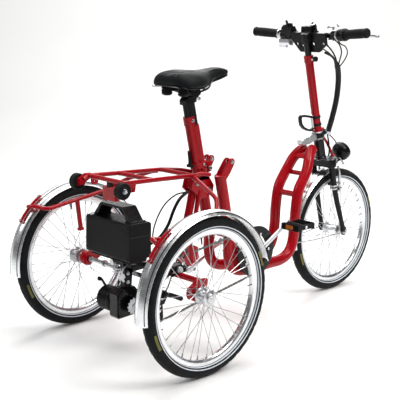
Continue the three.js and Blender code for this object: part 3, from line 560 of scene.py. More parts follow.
REFLECTOR = moulded("reflective_band", "polished_alloy", (0.62, 0.68, 0.74), 0.35, 1200.0, 0.2)
RIBBON = moulded("olive_tyre_patch", "tyre_rubber", (0.13, 0.12, 0.035), 0.6, 900.0, 0.2)
LENS = lens("red_lamp_lens", "red_lens", (0.55, 0.012, 0.012))
GLASS = bare_metal("lamp_reflector", "polished_alloy", (0.9, 0.9, 0.9), 0.08, scale=60.0, strength=0.1)
AMBER = lens("amber_pedal_reflector", "red_lens", (0.6, 0.16, 0.01))
PAPER = Surface("studio_paper", "", (0.93, 0.93, 0.922), 0.9).vary(3.0, 0.006, 0.02).done(specular=0.05)


# ---------------------------------------------------------------- wheels


def tyre_columns(x, y, segments=168):
    """Section after section round a tyre, with shallow blocks cut into its tread."""
    columns = []
    steps = 26
    for i in range(segments):
        a = math.tau * i / segments
        column = [(RIM_RADIUS + 1.2, -11), (RIM_RADIUS + 1.2, 11)]
        for k in range(steps + 1):
            t = math.radians(-38 + 256 * k / steps)
            across = TYRE_HALF_WIDTH * math.cos(t)
            r = TYRE_RADIUS - TYRE_HALF_HEIGHT + TYRE_HALF_HEIGHT * math.sin(t)
            tread = math.sin(t) > 0.45
            groove = (abs(abs(across) - 6) < 1.9) or (abs(across) > 8 and i % 4 == 0)
            if tread and groove and abs(across) > 2:
                r -= 1.3
            column.append((r, across))
        columns.append([
            Vector((x + r * math.cos(a), y + across, WHEEL_Z + r * math.sin(a))) for r, across in column
        ])
    return columns


RIM_SIDE = [
    (192.5, -6), (195, -9), (198.5, -10.8), (203, -11.6), (210.4, -12.2), (210.6, -10.5), (208, -9.5),
    (205, -3),
]
RIM_SECTION = [(192, 0), *both_ways(RIM_SIDE)]
REAR_HUB = [
    (0, -25), (11, -25), (13, -24), (25.5, -24), (26.5, -23), (26.5, -21.4), (25.5, -20.6), (18, -17),
    (15.5, -8), (15.5, 2), (18, 8), (25.5, 10.6), (26.5, 11.4), (26.5, 13), (25.5, 14), (19, 15.5),
    (16.5, 17), (16, 21.5), (14.6, 23), (8, 24), (7, 22.6), (0, 22.6),
]
STUB = [(0, -62), (7.4, -62), (8, -61.4), (8, -26), (9.5, -25)]
FRONT_HUB = both_ways(
    [
        (0, -46), (6.4, -46), (7, -45.4), (7.6, -37), (9, -36), (21.4, -34.4), (22.3, -33.6), (22.3, -31.6),
        (21.4, -30.8), (13, -27), (10.6, -20),
    ],
    (10.2, 0),
)
SPOKE_COUNT = 36


def wheel(name, x, y, hub_profile, flanges, flange_radius, outward, body):
    """One wheel: tyre with its bands and patches, rim, hub, laced spokes, nipples and valve."""
    origin = (x, y, WHEEL_Z)
    tyre = Shape().loft(tyre_columns(x, y), closed=True)
    tyre.stands(f"tyre_{name}", body, TYRE, crease=40)

    bands = Shape()
    for side in (-1, 1):
        outer = [(217.4, 20.2), (217.6, 21.1), (220.4, 21.9), (220.7, 21.0)]
        bands.turn([(r, side * a) for r, a in outer], origin, segments=120, ring=True)
        inner = [(211.6, 13.4), (212.0, 17.4), (213.0, 18.4), (213.6, 17.0)]
        bands.turn([(r, side * a) for r, a in inner], origin, segments=120, ring=True)
    bands.piece(f"reflective_bands_{name}", body, REFLECTOR)

    patches = Shape()
    for start in (196, 16):
        outer = [(226.5, 21.6), (226.5, 22.9), (234.5, 21.8), (234.5, 20.4)]
        for side in (-1, 1):
            section = [(r, side * a) for r, a in outer]
            patches.turn(section, origin, segments=8, ring=True, start=start, end=start + 13)
    patches.piece(f"sidewall_patches_{name}", body, RIBBON)

    rim = Shape().turn(RIM_SECTION, origin, segments=144, ring=True)
    rim.stands(f"rim_{name}", body, RIM_ALLOY, crease=28)

    hub = Shape().turn([(r, outward * a) for r, a in hub_profile], origin, segments=40)
    hub.stands(f"hub_{name}", body, CAST, crease=25)

    spokes = Shape()
    nipples = Shape()
    for i in range(SPOKE_COUNT):
        side = i % 2
        crossing = 54 if i // 2 % 2 else -54
        a = math.tau * i / SPOKE_COUNT
        b = a + math.radians(crossing)
        hole_y = y + outward * flanges[side]
        foot = Vector((x + flange_radius * math.cos(b), hole_y, WHEEL_Z + flange_radius * math.sin(b)))
        lean = (1 if side else -1) * 2.5 * outward
        rim_point = Vector((x + 193 * math.cos(a), y + lean, WHEEL_Z + 193 * math.sin(a)))
        spokes.tube([foot, rim_point], 1.05, sides=6)
        head_side = 1 if i // 2 % 2 else -1
        spokes.disc(foot - Vector((0, 2.4 * head_side, 0)), (0, head_side, 0), 2.1, 4.8, 8)
        inward = (foot - rim_point).normalized()
        nipples.tube([rim_point - inward * 2, rim_point + inward * 12], lambda t: 2.5 - 0.7 * t, sides=8)
    spokes.piece(f"spokes_{name}", body, SPOKE_STEEL)
    nipples.piece(f"spoke_nipples_{name}", body, STEEL)

    a = math.radians(98)
    out = ray(a)
    root = Vector(origin) + out * 193
    valve = Shape().tube([root, root - out * 24], lambda t: 3.1 if t < 0.62 else 2.2, sides=12)
    valve.disc(root - out * 3.5, out, 6, 3, 6)
    valve.piece(f"valve_{name}", body, SMOOTH_PLASTIC)


for name, side in SIDES:
    profile = REAR_HUB if name == "left" else [*STUB, *REAR_HUB[2:]]
    wheel(f"rear_{name}", 0, side * REAR_WHEEL_Y, profile, (-22.7, 12.3), 22.8, side, f"wheel_rear_{name}")
wheel("front", WHEELBASE, 0, FRONT_HUB, (-32.6, 32.6), 18.8, 1, "wheel_front")

for name, side in SIDES:
    caps = Shape()
    out = (0, side, 0)
    start = (0, side * (REAR_WHEEL_Y + 22.4), WHEEL_Z)
    caps.disc(start, out, 10.5, 1.2, 32)
    caps.bolt((0, side * (REAR_WHEEL_Y + 23.4), WHEEL_Z), out, 6.5, 1.5, washer=False)
    caps.piece(f"hub_cap_bolt_{name}", f"wheel_rear_{name}", STEEL)


# ---------------------------------------------------------------- main frame

# Middle line of the left frame tube: it starts near the middle plane at the head, spreads on the way down,
# and keeps its full width from there on.
HEAD_END = [(866, 15, 592), (838, 24, 584), (812, 38, 556), (792, 47, 520)]
TUBE_SIDE_VIEW = [
    (767, 484), (744, 448), (731, 373), (727, 296), (715, 240), (692, 210), (651, 194), (595, 192),
    (430, 194), (391, 216), (376, 256), (374, 313), (352, 430), (324, 550),
]
FRAME_ROUTE = [*HEAD_END, *(placed(spot, FRAME_TUBE_Y) for spot in TUBE_SIDE_VIEW)]
EAR_BOLT = (368, 592)
EAR = [
    (310, 536), (340, 530), (358, 550), (373, 572), (382, 588), (381, 598), (374, 604), (363, 605),
    (354, 599), (326, 562),
]


def frame_side(side):
    """One frame tube, with the two ears on its rear end."""
    body = Shape(handed(VEHICLE, side))
    body.tube(spline(FRAME_ROUTE, 8)[3:], FRAME_TUBE_RADIUS, 36)
    for low, high in ((59, 64), (36, 41)):
        body.plate(EAR, low, high, [(*EAR_BOLT, 6)])
    return body


for name, side in SIDES:
    frame_side(side).stands(f"frame_tube_{name}", "main_frame", RED, bevel=0.8, crease=40)


def weld(shape, origin, axis, radius, bead=2.2):
    """A bead of weld round a joint."""
    profile = [(radius + bead * math.cos(a), bead * math.sin(a)) for a in (i * math.pi / 4 for i in range(8))]
    return shape.turn(profile, origin, axis, 32, ring=True)


web = Shape()
web.plate([(848, 590), (812, 574), (800, 564), (806, 557), (824, 562), (852, 580)], -32, 32)
for x, z, half_width, radius in (
    (796, 502, 46, 9), (742, 430, 52, 11), (560, 192, 52, 11), (368, 330, 52, 9),
):
    web.tube(bar_across(x, z, half_width), radius, 20)
web.stands("frame_gusset", "main_frame", RED, bevel=1.2)

shell = Shape()
shell.turn(both_ways([(12, -34), (19.6, -34), (21, -32.8)]), placed(BRACKET, 0),
           segments=40, ring=True)
shell.plate([(448, 194), (502, 194), (494, 246), (456, 246)], -46, 46, [(475, 216, 9)])
for y in (30, -30):
    weld(shell, placed(BRACKET, y), LEFT, 20.5, 1.6)
shell.stands("bottom_bracket_shell", "main_frame", RED, bevel=1.0)

cups = Shape()
for side in (-1, 1):
    cups.turn([(9, 33), (20, 33), (20, 38), (17.5, 40), (9, 40)], placed(BRACKET, 0), (0, side, 0), 20,
              ring=True)
cups.piece("bottom_bracket_cups", "main_frame", STEEL, bevel=0.5)

head_tube = Shape(HEAD)
head_tube.turn(
    [(14.5, -100), (21.5, -100), (22, -98), (22, -93), (20, -90), (20, -27), (22, -24), (22, -18), (21, -15),
     (14.5, -15)],
    axis=UP, segments=48, ring=True,
)
head_tube.stands("head_tube", "main_frame", GLOSS_BLACK, crease=30)

headset = Shape(HEAD)
for low in (-101, -17.5):
    headset.turn(
        [(15, low), (23, low), (23.6, low + 1), (23, low + 2.6), (15, low + 2.6)], axis=UP, ring=True,
    )
headset.piece("headset_rings", "main_frame", STEEL)

frame_bolts = Shape()
for side in (-1, 1):
    frame_bolts.bolt(placed(EAR_BOLT, side * 64), (0, side, 0), 6, 4)
    frame_bolts.bolt(placed(EAR_BOLT, side * 36), (0, -side, 0), 6, 4)
frame_bolts.piece("ear_bolts", "main_frame", STEEL)


# ---------------------------------------------------------------- rear frame

PIVOT = (300, 497)
RACK_RAIL = [
    (-144, 92, 566), (-123, 94, 576), (-8, 86, 573), (167, 82, 568), (232, 54, 564), (292, 32, 552),
]
CROSS_BARS = ((-123, 576, 94), (-8, 573, 86), (167, 568, 82))

rack = Shape()
for side in (-1, 1):
    rail = bent([(x, side * y, z) for x, y, z in RACK_RAIL], 16, 6)
    rack.tube(rail, 7.5, 20)
    arm = [(-162, 548), (-142, 548), (-112, 568), (-112, 584), (-134, 584), (-160, 568)]
    rack.plate(arm, *span(side, 94, 103), [(-128, 575, 3)])
    rack.tube([(-151, side * 90, 558), (-151, side * 104, 558)], 9, 20)
    rack.plate([(-110, 546), (-88, 546), (-84, 572), (-112, 572)], *span(side, 90, 98), [(-99, 555, 3.4)])
for x, z, half_width in CROSS_BARS:
    rack.tube(bar_across(x, z, half_width), 7.4, 20)
    for side in (-1, 1):
        weld(rack, (x, side * (half_width - 7), z), LEFT, 7.2, 1.1)
rack.stands("rack_frame", "rear_frame", RED, bevel=0.8)

for name, side in SIDES:
    roller_x, roller_y, roller_z = in_vehicle(f"transport_roller_{name}")
    half = [(5.5, -11), (14, -11), (15, -9.6), (21.5, -9.6), (22.5, -11), (24.4, -10.6), (26, -8.4)]
    half += [(26, -3.4), (25, -2.6)]
    profile = both_ways(half)
    roller = Shape().turn(profile, (roller_x, roller_y, roller_z), segments=48, ring=True)
    roller.stands(f"transport_roller_{name}", f"roller_{name}", GRIP, crease=28)
    pin = Shape()
    pin.tube([(roller_x, side * 100, roller_z), (roller_x, side * 127, roller_z)], 4.9, 20)
    pin.bolt((roller_x, side * 127, roller_z), (0, side, 0), 7.0, 4.5)
    pin.piece(f"roller_bolt_{name}", "rear_frame", STEEL)

EAR_PLATE = [(228, 548), (296, 548), (322, 512), (318, 486), (300, 476), (262, 470), (216, 508)]
EAR_PLATE_BOLT = (246, 524)
FOOT_PLATE = [(196, 330), (262, 300), (270, 262), (232, 236), (176, 262)]
FOOT_BOLT = (240, 276)

strut = Shape()
for low, high in ((-24, -17), (17, 24)):
    strut.plate(EAR_PLATE, low, high, [(*PIVOT, 6), (*EAR_PLATE_BOLT, 5)])
strut.plate([(232, 546), (282, 546), (284, 512), (262, 486), (224, 510)], -18, 18)
strut.turn([(7, -19), (15, -19), (15, 19), (7, 19)], placed(PIVOT, 0), segments=32, ring=True)
strut.plate([(240, 534), (300, 534), (301, 557), (246, 544)], -24, 24)
strut.tube(bent([(246, 0, 500), (222, 0, 400), (184, 0, 286), (50, 0, 268)], 40, 10), 14, 28)
for low, high in ((-12, -7), (7, 12)):
    strut.plate(FOOT_PLATE, low, high, [(*FOOT_BOLT, 9)])
strut.tube(bar_across(*FOOT_BOLT, 12), 12, 20)
for side in (-1, 1):
    strut.tube(bent([(256, side * 20, 500), (240, side * 22, 420), (222, side * 12, 300)], 30, 6), 8, 20)
strut.stands("rear_strut", "rear_frame", RED, bevel=1.0)

pivot_bolt = Shape()
pivot_bolt.tube([placed(PIVOT, -30), placed(PIVOT, 30)], 5.6, 20)
for side in (-1, 1):
    pivot_bolt.bolt(placed(PIVOT, side * 24.2), (0, side, 0), 9.5, 6)
    pivot_bolt.bolt(placed(EAR_PLATE_BOLT, side * 24), (0, side, 0), 6, 4)
pivot_bolt.piece("frame_pivot_bolt", "rear_frame", STEEL)

SIDE_TUBE = [
    (-201, REAR_WHEEL_Y, 447), (-192, 300, 452), (-176, 284, 447), (-150, 284, 440), (-30, 284, 458),
    (83, 280, 476), (136, 226, 518), (158, 112, 558), (164, 91, 562),
]
for name, side in SIDES:
    place = handed(VEHICLE, side)
    tube = Shape(place)
    tube.tube(bent(SIDE_TUBE, 24, 7), 7, 20)
    tube.tube(arc(0, WHEEL_Z, FENDER_RADIUS + 7.5, 147, 123, 12, REAR_WHEEL_Y), 5, 16)
    tube.tube([(-32, 284, 458), (-20, 281, 352)], 8, 24)
    socket_axis = Vector((12, -3, -106)).normalized()
    tube.turn([(0, -2), (11, -2), (12, -1), (12, 5), (11, 6), (0, 6)], (-20.6, 281.2, 356), socket_axis, 32)
    weld(tube, (-31.5, 284, 450), socket_axis, 7.6, 1.4)
    tube.stands(f"side_tube_{name}", "rear_frame", RED, bevel=0.6)

    clips = Shape(place)
    for angle in (124.5, 145.5):
        a = math.radians(angle)
        out = ray(a)
        hub = Vector((0, REAR_WHEEL_Y, WHEEL_Z))
        clips.bolt(hub + out * (FENDER_RADIUS + 11.4), out, 4.2, 2.4, washer=False)
        clips.tube([hub + out * (FENDER_RADIUS - 6), hub + out * (FENDER_RADIUS + 11)], 2.4, 12)
    clips.piece(f"fender_clip_bolts_{name}", "rear_frame", STEEL)

beam = Shape()
beam.tube(bar_across(47, 270, 264), 10, 24)
for side in (-1, 1):
    carrier = [(-16, 232), (20, 232), (58, 256), (60, 282), (20, 284), (-16, 262)]
    beam.plate(carrier, *span(side, 258, 271), [(0, WHEEL_Z, 11)])
    disc = [(12, 262), (23, 262), (24.6, 263.6), (24.6, 267), (23, 268.6), (12, 268.6)]
    beam.turn([(r, side * y) for r, y in disc], (0, 0, WHEEL_Z), segments=48, ring=True)
    weld(beam, (47, side * 257, 270), LEFT, 10, 1.8)
    eye = [(10.2, -7), (22.6, -7), (24, -5.6), (24, 6.6), (22.6, 8), (10.2, 8)]
    beam.turn([(r, side * y) for r, y in eye], (0, side * 278, WHEEL_Z), segments=40, ring=True)
beam.stands("axle_beam", "rear_frame", RED, bevel=0.9)

carrier_bolts = Shape()
for side in (-1, 1):
    for angle in (30, 102, 174, 246, 318):
        a = math.radians(angle)
        spot = (19 * math.cos(a), side * 268.6, WHEEL_Z + 19 * math.sin(a))
        carrier_bolts.bolt(spot, (0, side, 0), 2.8, 2.4, washer=False)
carrier_bolts.piece("carrier_bolts", "rear_frame", STEEL)

FENDER_OUTSIDE = [
    (-12.6, -25.2), (-11.4, -25.6), (-10.6, -24.8), (-5.5, -21.4), (-2.4, -17), (-0.4, -11), (0.8, -6),
    (1.3, -1.6),
]
FENDER_INSIDE = [(-12.2, 24.2), (-6.6, 20.2), (-3.8, 16), (-1.8, 10), (-0.4, 4)]
FENDER_SECTION = [*both_ways(FENDER_OUTSIDE, (2.2, 0)), *both_ways(FENDER_INSIDE)]


def fender(shape, centre_x, centre_y, radius, start, end):
    profile = [(radius + rise, across) for rise, across in FENDER_SECTION]
    return shape.turn(profile, (centre_x, centre_y, WHEEL_Z), segments=96, ring=True, start=start, end=end)


for name, side in SIDES:
    mudguard = fender(Shape(), 0, side * REAR_WHEEL_Y, FENDER_RADIUS - 2, 17, 187)
    mudguard.stands(f"fender_{name}", "rear_frame", POLISHED, crease=50)
    trims = Shape()
    for edge in (-1, 1):
        line = [(FENDER_RADIUS - 5.4, 19.4), (FENDER_RADIUS - 4.9, 20.2), (FENDER_RADIUS - 6.4, 21.9),
                (FENDER_RADIUS - 7.4, 21.6)]
        trims.turn(
            [(r, edge * a) for r, a in line], (0, side * REAR_WHEEL_Y, WHEEL_Z), segments=96, ring=True,
            start=18, end=186,
        )
    trims.piece(f"fender_trim_{name}", "rear_frame", SMOOTH_PLASTIC)


# ---------------------------------------------------------------- battery, motor and lamp at the back

battery_low, battery_high = (VEHICLE.inverted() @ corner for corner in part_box("battery_case"))
battery = Shape()
x0, y0, z0 = battery_low
x1, y1, z1 = battery_high
battery.plate(
    [
        (x0 + 6, z0), (x1 - 6, z0), (x1, z0 + 6), (x1, z1 - 6), (x1 - 6, z1), (x0 + 6, z1), (x0, z1 - 6),
        (x0, z0 + 6),
    ],
    y0, y1,
)
for y in (y0 + 6, y1 - 10):
    battery.block((x0 + 14, y, z1 - 1), (x1 - 14, y + 4, z1 + 1.6))
battery.stands("battery_case", "battery", PLASTIC, bevel=3.0)

case_trim = Shape()
case_trim.plate(
    [(x0 + 4, z0 + 78), (x1 - 4, z0 + 78), (x1 - 4, z0 + 80), (x0 + 4, z0 + 80)], y0 - 0.5, y1 + 0.5,
)
for y in (y0 + 12, y1 - 12):
    for z in (z0 + 12, z1 - 12):
        case_trim.bolt((x0 - 0.4, y, z), BACK, 3.4, 1.6, washer=False)
        case_trim.bolt((x1, y, z), AHEAD, 3.4, 1.6, washer=False)
case_trim.piece("battery_case_screws", "battery", GLOSS_BLACK)

lock = Shape()
lock.disc((x0 + 14, y1 - 18, z1 - 0.4), UP, 9, 5, 28)
lock.disc((x0 + 14, y1 - 18, z1 + 4.4), UP, 6, 2, 28)
lock.piece("battery_lock", "battery", STEEL)

HANDLE_OUTER = [(-96, 0), (-90, 6), (-60, 42), (-54, 46), (54, 46), (60, 42), (90, 6), (96, 0)]
HANDLE_INNER = [(76, 0), (70, 7), (53, 35), (47, 38), (-47, 38), (-53, 35), (-70, 7), (-76, 0)]
handle_outline = [(y, z1 + 0.4 + z) for y, z in [*HANDLE_OUTER, *HANDLE_INNER]]
handle = Shape()
handle.plate(handle_outline, x0 + 18, x0 + 71, flat="yz")
for side in (-1, 1):
    handle.block((x0 + 14, side * 86 - 14, z1 - 0.2), (x0 + 75, side * 86 + 14, z1 + 5))
for y in range(-40, 41, 16):
    handle.block((x0 + 24, y - 4, z1 + 36.6), (x0 + 65, y + 4, z1 + 38.8))
handle.stands("battery_handle", "battery", SMOOTH_PLASTIC, bevel=2.2)

bracket = Shape()
bracket.block((-112, -96, 320), (-42, 96, 323))
for side in (-1, 1):
    bracket.block((-112, side * 96 - 2, 320), (-42, side * 96 + 2, 325.6))
for x in (-104, -54):
    bracket.block((x, -92, 323), (x + 6, 92, 325.4))
bracket.plate([(-74, 320), (-34, 320), (-26, 268), (-30, 216), (-62, 216), (-58, 268)], -10, 10)
bracket.plate([(-60, 300), (-20, 296), (36, 284), (36, 266), (-40, 262)], -10, 10)
bracket.plate([(-90, 321), (-30, 321), (-52, 286)], 20, 25)
bracket.plate([(-90, 321), (-30, 321), (-52, 286)], -25, -20)
bracket.block((-58, -40, 286), (-34, 40, 296))
bracket.stands("motor_bracket", "rear_frame", BLACK, bevel=1.2)

fittings = Shape()
for y, z in ((-34, 306), (34, 306), (-14, 240), (14, 240)):
    fittings.bolt((-62, y * 0.6, z), BACK, 4.4, 3)
for z in (288, 262, 232):
    fittings.bolt((-46, -10, z), RIGHT, 5, 3.4)
fittings.tube(spline([(-60, -26, 298), (-84, -34, 290), (-88, -30, 268), (-70, -24, 256)], 8), 3, 12)
fittings.disc((-88, -34, 262), LEFT, 11, 7, 28)
fittings.disc((-88, 22, 300), AHEAD, 10, 12, 28)
fittings.piece("bracket_fittings", "rear_frame", CAST)

motor = Shape()
MOTOR_AXIS = (-60, 165)
profile = [(0, 28.3), (34, 28.3), (36, 30), (39, 31.5), (41, 34)]
for ridge in range(6):
    y = 38 + ridge * 7
    profile += [(41, y), (41, y + 3.6), (39.2, y + 4.4), (39.2, y + 6.2)]
profile += [
    (41, 80), (41, 85), (38.4, 88), (36, 91.5), (31, 94.5), (24, 96), (22, 94.5), (12, 94.5), (11, 96),
    (0, 96),
]
motor.turn(profile, placed(MOTOR_AXIS, 0), segments=56)
for angle in range(0, 360, 60):
    a = math.radians(angle + 20)
    spot = (MOTOR_AXIS[0] + 31 * math.cos(a), MOTOR_AXIS[1] + 31 * math.sin(a))
    motor.bolt(placed(spot, 93.6), LEFT, 2.8, 2.2, washer=False)
motor.tube(spline([(-60, 88, 200), (-68, 92, 216), (-76, 90, 226)], 6), 4, 14)
motor.disc((-80, 90, 228), (-1, 0, 0.3), 7, 9, 24)
motor.stands("motor", "rear_frame", BLACK, crease=28)

SPROCKET_AXIS = (-40, 157)
SPROCKET_TEETH = 13
gearbox = Shape()
GEARBOX = [(-93, 124), (-86, 116), (-16, 120), (-6, 131), (-6, 199), (-20, 215), (-74, 215), (-93, 197)]
gearbox.plate(GEARBOX, -12, 26)
inner = [(-88, 127), (-83, 120), (-18, 124), (-10, 133), (-10, 197), (-22, 211), (-72, 211), (-88, 195)]
gearbox.plate(inner, -14.5, -11)
gearbox.turn([(0, -30), (21, -30), (24, -27.5), (24, -11), (0, -11)], placed(SPROCKET_AXIS, 0), segments=40)
gearbox.turn([(0, -33), (8, -33), (10, -31.5), (10, -29), (0, -29)], placed(SPROCKET_AXIS, 0), segments=24)
for x, z in ((-84, 126), (-16, 128), (-14, 196), (-26, 208), (-72, 208), (-86, 192)):
    gearbox.bolt((x, -14, z), RIGHT, 3.4, 2.4, washer=False)
gearbox.stands("gearbox", "rear_frame", GLOSS_BLACK, bevel=1.6)

sprocket = Shape()


def toothed(teeth, outer, root, inner):
    """Outline of a chain wheel with rounded teeth, and its inner edge."""
    tooth = (
        (0.0, root), (0.22, root), (0.38, outer - 1), (0.46, outer), (0.54, outer), (0.62, outer - 1),
        (0.78, root),
    )
    outline = []
    for i in range(teeth):
        for share, r in tooth:
            a = math.tau * (i + share) / teeth
            outline.append((r * math.cos(a), r * math.sin(a)))
    count = len(outline)
    angles = [math.tau * k / count for k in range(count)]
    return outline, [(inner * math.cos(t), inner * math.sin(t)) for t in angles]


def chain_wheel(shape, x, z, low, high, teeth, outer, root, inner):
    edge, hole = toothed(teeth, outer, root, inner)
    loops = ((edge, low), (edge, high), (hole, high), (hole, low))
    return shape.loft([[(x + a, y, z + b) for a, b in loop] for loop, y in loops], closed=True)


chain_wheel(sprocket, *SPROCKET_AXIS, -36, -33.4, SPROCKET_TEETH, 29, 25, 8)
sprocket.turn([(0, -39), (7, -39), (8, -38), (8, -30), (0, -30)], placed(SPROCKET_AXIS, 0), segments=24)
sprocket.piece("motor_sprocket", "rear_frame", STEEL, bevel=0.2)

lamp_low, lamp_high = (VEHICLE.inverted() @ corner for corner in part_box("tail_light"))
tail = Shape()
tail.block((lamp_low.x + 3, lamp_low.y, lamp_low.z), (lamp_low.x + 21, lamp_high.y, 552))
for z in range(512, 550, 4):
    tail.tube([(lamp_low.x + 3.2, lamp_low.y + 3, z), (lamp_low.x + 3.2, lamp_high.y - 3, z)], 1.5, 8)
tail.stands("tail_light", "rear_frame", LENS, bevel=3.0)
tail_back = Shape()
tail_back.block((lamp_low.x + 17, lamp_low.y + 2, lamp_low.z + 2), (lamp_low.x + 22, lamp_high.y - 2, 550))
tail_back.block((lamp_low.x + 2, -9, 548), (lamp_low.x + 17, 9, 569))
tail_back.piece("tail_light_back", "rear_frame", SMOOTH_PLASTIC, bevel=1.5)


# ---------------------------------------------------------------- shafts, chain and gears

shaft = Shape()
shaft_end = REAR_WHEEL_Y - 25.4
shaft.turn(
    [
        (0, -104), (7, -104), (8, -103), (8, 84), (11, 85), (14, 88), (14, 112), (11, 115), (8, 116),
        (8, 168), (12, 169), (12, 178), (8, 179), (8, 240), (10.5, 241), (10.5, 252), (8, 253),
        (8, shaft_end), (0, shaft_end),
    ],
    (0, 0, WHEEL_Z), segments=32,
)
shaft.bolt((0, 100, WHEEL_Z + 13.4), UP, 3.4, 2.6, washer=False)
shaft.stands("drive_shaft", "wheel_rear_left", STEEL, crease=25)

cogs = Shape()
for i, teeth in enumerate((14, 16, 18, 20, 22)):
    y = CHAIN_Y - 0.9 + (i - 2) * 4.2
    pitch_radius = 6.35 / math.sin(math.pi / teeth)
    chain_wheel(cogs, 0, WHEEL_Z, y, y + 1.8, teeth, pitch_radius + 3, pitch_radius - 3.6, 10)
cogs.turn([(9.2, -9), (15, -9), (15, 9), (9.2, 9)], (0, CHAIN_Y, WHEEL_Z), segments=32, ring=True)
cogs.stands("cassette", "cassette_body", STEEL, crease=25)

hanger = Shape()
HANGER = [(-14, 234), (-14, 262), (34, 292), (60, 280), (60, 256), (16, 232), (16, 216), (42, 206), (48, 190),
          (32, 164), (12, 164), (4, 190), (-8, 214)]
hanger.plate(HANGER, CHAIN_Y - 22, CHAIN_Y - 14, [(0, WHEEL_Z, 9.4), (47, 270, 10.4)])
hanger.tube(bent([(30, CHAIN_Y - 18, 198), (70, CHAIN_Y - 20, 184), (106, CHAIN_Y - 22, 166)], 14), 8, 20)
hanger.tube([(8, CHAIN_Y - 24, 186), (44, CHAIN_Y - 24, 196)], 6, 16)
hanger.stands("derailleur_body", "rear_frame", BLACK, bevel=1.2)

derailleur_bolts = Shape()
for x, z in ((22, 184), (44, 196), (-6, 250), (52, 268)):
    derailleur_bolts.bolt((x, CHAIN_Y - 22, z), RIGHT, 4.6, 3)
derailleur_bolts.tube([(104, CHAIN_Y - 22, 167), (112, CHAIN_Y - 22.4, 163)], 4, 16)
derailleur_bolts.piece("derailleur_bolts", "rear_frame", STEEL)

caliper = Shape()
caliper.plate([(22, 268), (66, 276), (72, 292), (60, 304), (24, 300), (14, 284)], -152, -118)
caliper.plate([(30, 262), (50, 262), (50, 276), (30, 276)], -140, -128)
caliper.piece("rear_brake_caliper", "rear_frame", SMOOTH_PLASTIC, bevel=2.4)
caliper_parts = Shape()
caliper_parts.disc((46, -152, 288), RIGHT, 11, 9, 28)
caliper_parts.bolt((46, -161, 288), RIGHT, 5, 2.5, washer=False)
caliper_parts.tube(bent([(64, -146, 296), (78, -144, 306), (72, -140, 318)], 8), 3.4, 14)
for x in (24, 60):
    caliper_parts.bolt((x, -152, 282), RIGHT, 3.4, 2.6, washer=False)
caliper_parts.piece("rear_brake_fittings", "rear_frame", CAST)

cage = Shape()
gx, gz = GUIDE_PULLEY
tx, tz = TENSION_PULLEY
CAGE = [
    (gx - 11, gz), (gx - 9, gz + 6), (gx - 4, gz + 10), (gx + 6, gz + 10), (gx + 11, gz + 6), (gx + 12, gz),
    (tx + 12, tz), (tx + 10, tz - 6), (tx + 5, tz - 10), (tx - 5, tz - 10), (tx - 10, tz - 6),
    (tx - 11, tz),
]
for low in (CHAIN_Y - 10.4, CHAIN_Y + 8):
    cage.plate(
        CAGE, low, low + 2, [((gx + tx) / 2, (gz + tz) / 2 + 10, 5), ((gx + tx) / 2, (gz + tz) / 2 - 8, 5)],
    )
for x, z in (GUIDE_PULLEY, TENSION_PULLEY):
    chain_wheel(cage, x, z, CHAIN_Y - 1.6, CHAIN_Y + 1.6, 11, 16.5, 13, 4)
    cage.tube([(x, CHAIN_Y - 8.5, z), (x, CHAIN_Y + 8.5, z)], 4, 16)
    cage.bolt((x, CHAIN_Y - 10.4, z), RIGHT, 4.2, 1.6, washer=False)
cage.stands("derailleur_cage", "derailleur_arm", BLACK, bevel=0.4)

CHAIN_PITCH = 12.7
TOP_RUN = 97.6
BOTTOM_RUN = -80.6


def chain_route():
    """Closed line of the chain's pins."""
    loops = (
        (*BRACKET, RING_RADIUS, BOTTOM_RUN, TOP_RUN, 60),
        (0, WHEEL_Z, COG_RADIUS, TOP_RUN, 280, 40),
        (*GUIDE_PULLEY, PULLEY_RADIUS, 100, -12, 24),
        (*TENSION_PULLEY, PULLEY_RADIUS, 168, 360 + BOTTOM_RUN, 24),
    )
    route = []
    for x, z, r, start, end, steps in loops:
        route += arc(x, z, r, start, end, steps, CHAIN_Y)
    return [*route, route[0]]


def evenly(route, pitch):
    """Points a pitch apart along a closed route, the pitch trimmed to close it."""
    lengths = [0.0]
    for a, b in zip(route, route[1:]):
        lengths.append(lengths[-1] + (b - a).length)
    count = 2 * round(lengths[-1] / pitch / 2)
    points = []
    i = 0
    for k in range(count):
        at = lengths[-1] * k / count
        while lengths[i + 1] < at:
            i += 1
        share = (at - lengths[i]) / (lengths[i + 1] - lengths[i])
        points.append(route[i].lerp(route[i + 1], share))
    return points


pins = evenly(chain_route(), CHAIN_PITCH)
links = Shape()
for i, a in enumerate(pins):
    b = pins[(i + 1) % len(pins)]
    along = (b - a).normalized()
    up = along.cross(Vector(LEFT))
    outline = []
    for end, direction in ((b, 1), (a, -1)):
        for step in range(5):
            t = math.radians(-90 + 45 * step)
            outline.append(
                end + along * (direction * 3.6 * math.cos(t)) + up * (direction * 3.6 * math.sin(t))
            )
    waist = (a + b) / 2
    outline.insert(5, waist + up * 2.6)
    outline.append(waist - up * 2.6)
    for side in (-1, 1):
        low, high = (2.1, 2.9) if i % 2 else (1.2, 2.0)
        near = [p + Vector((0, side * low, 0)) for p in outline]
        far = [p + Vector((0, side * high, 0)) for p in outline]
        links.loft([near, far])
    links.tube([a + Vector((0, -1.3, 0)), a + Vector((0, 1.3, 0))], 3.3, 10)
    links.tube([a + Vector((0, -3.2, 0)), a + Vector((0, 3.2, 0))], 1.5, 8)
chain = links.stands("chain", None, CHAIN_STEEL, crease=25)
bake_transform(chain)

RING_ARM = ((14, -12), (66, -7), (70, 0), (66, 7), (14, 12))  # radius and offset round one arm of the spider
RING_ARMS = 5

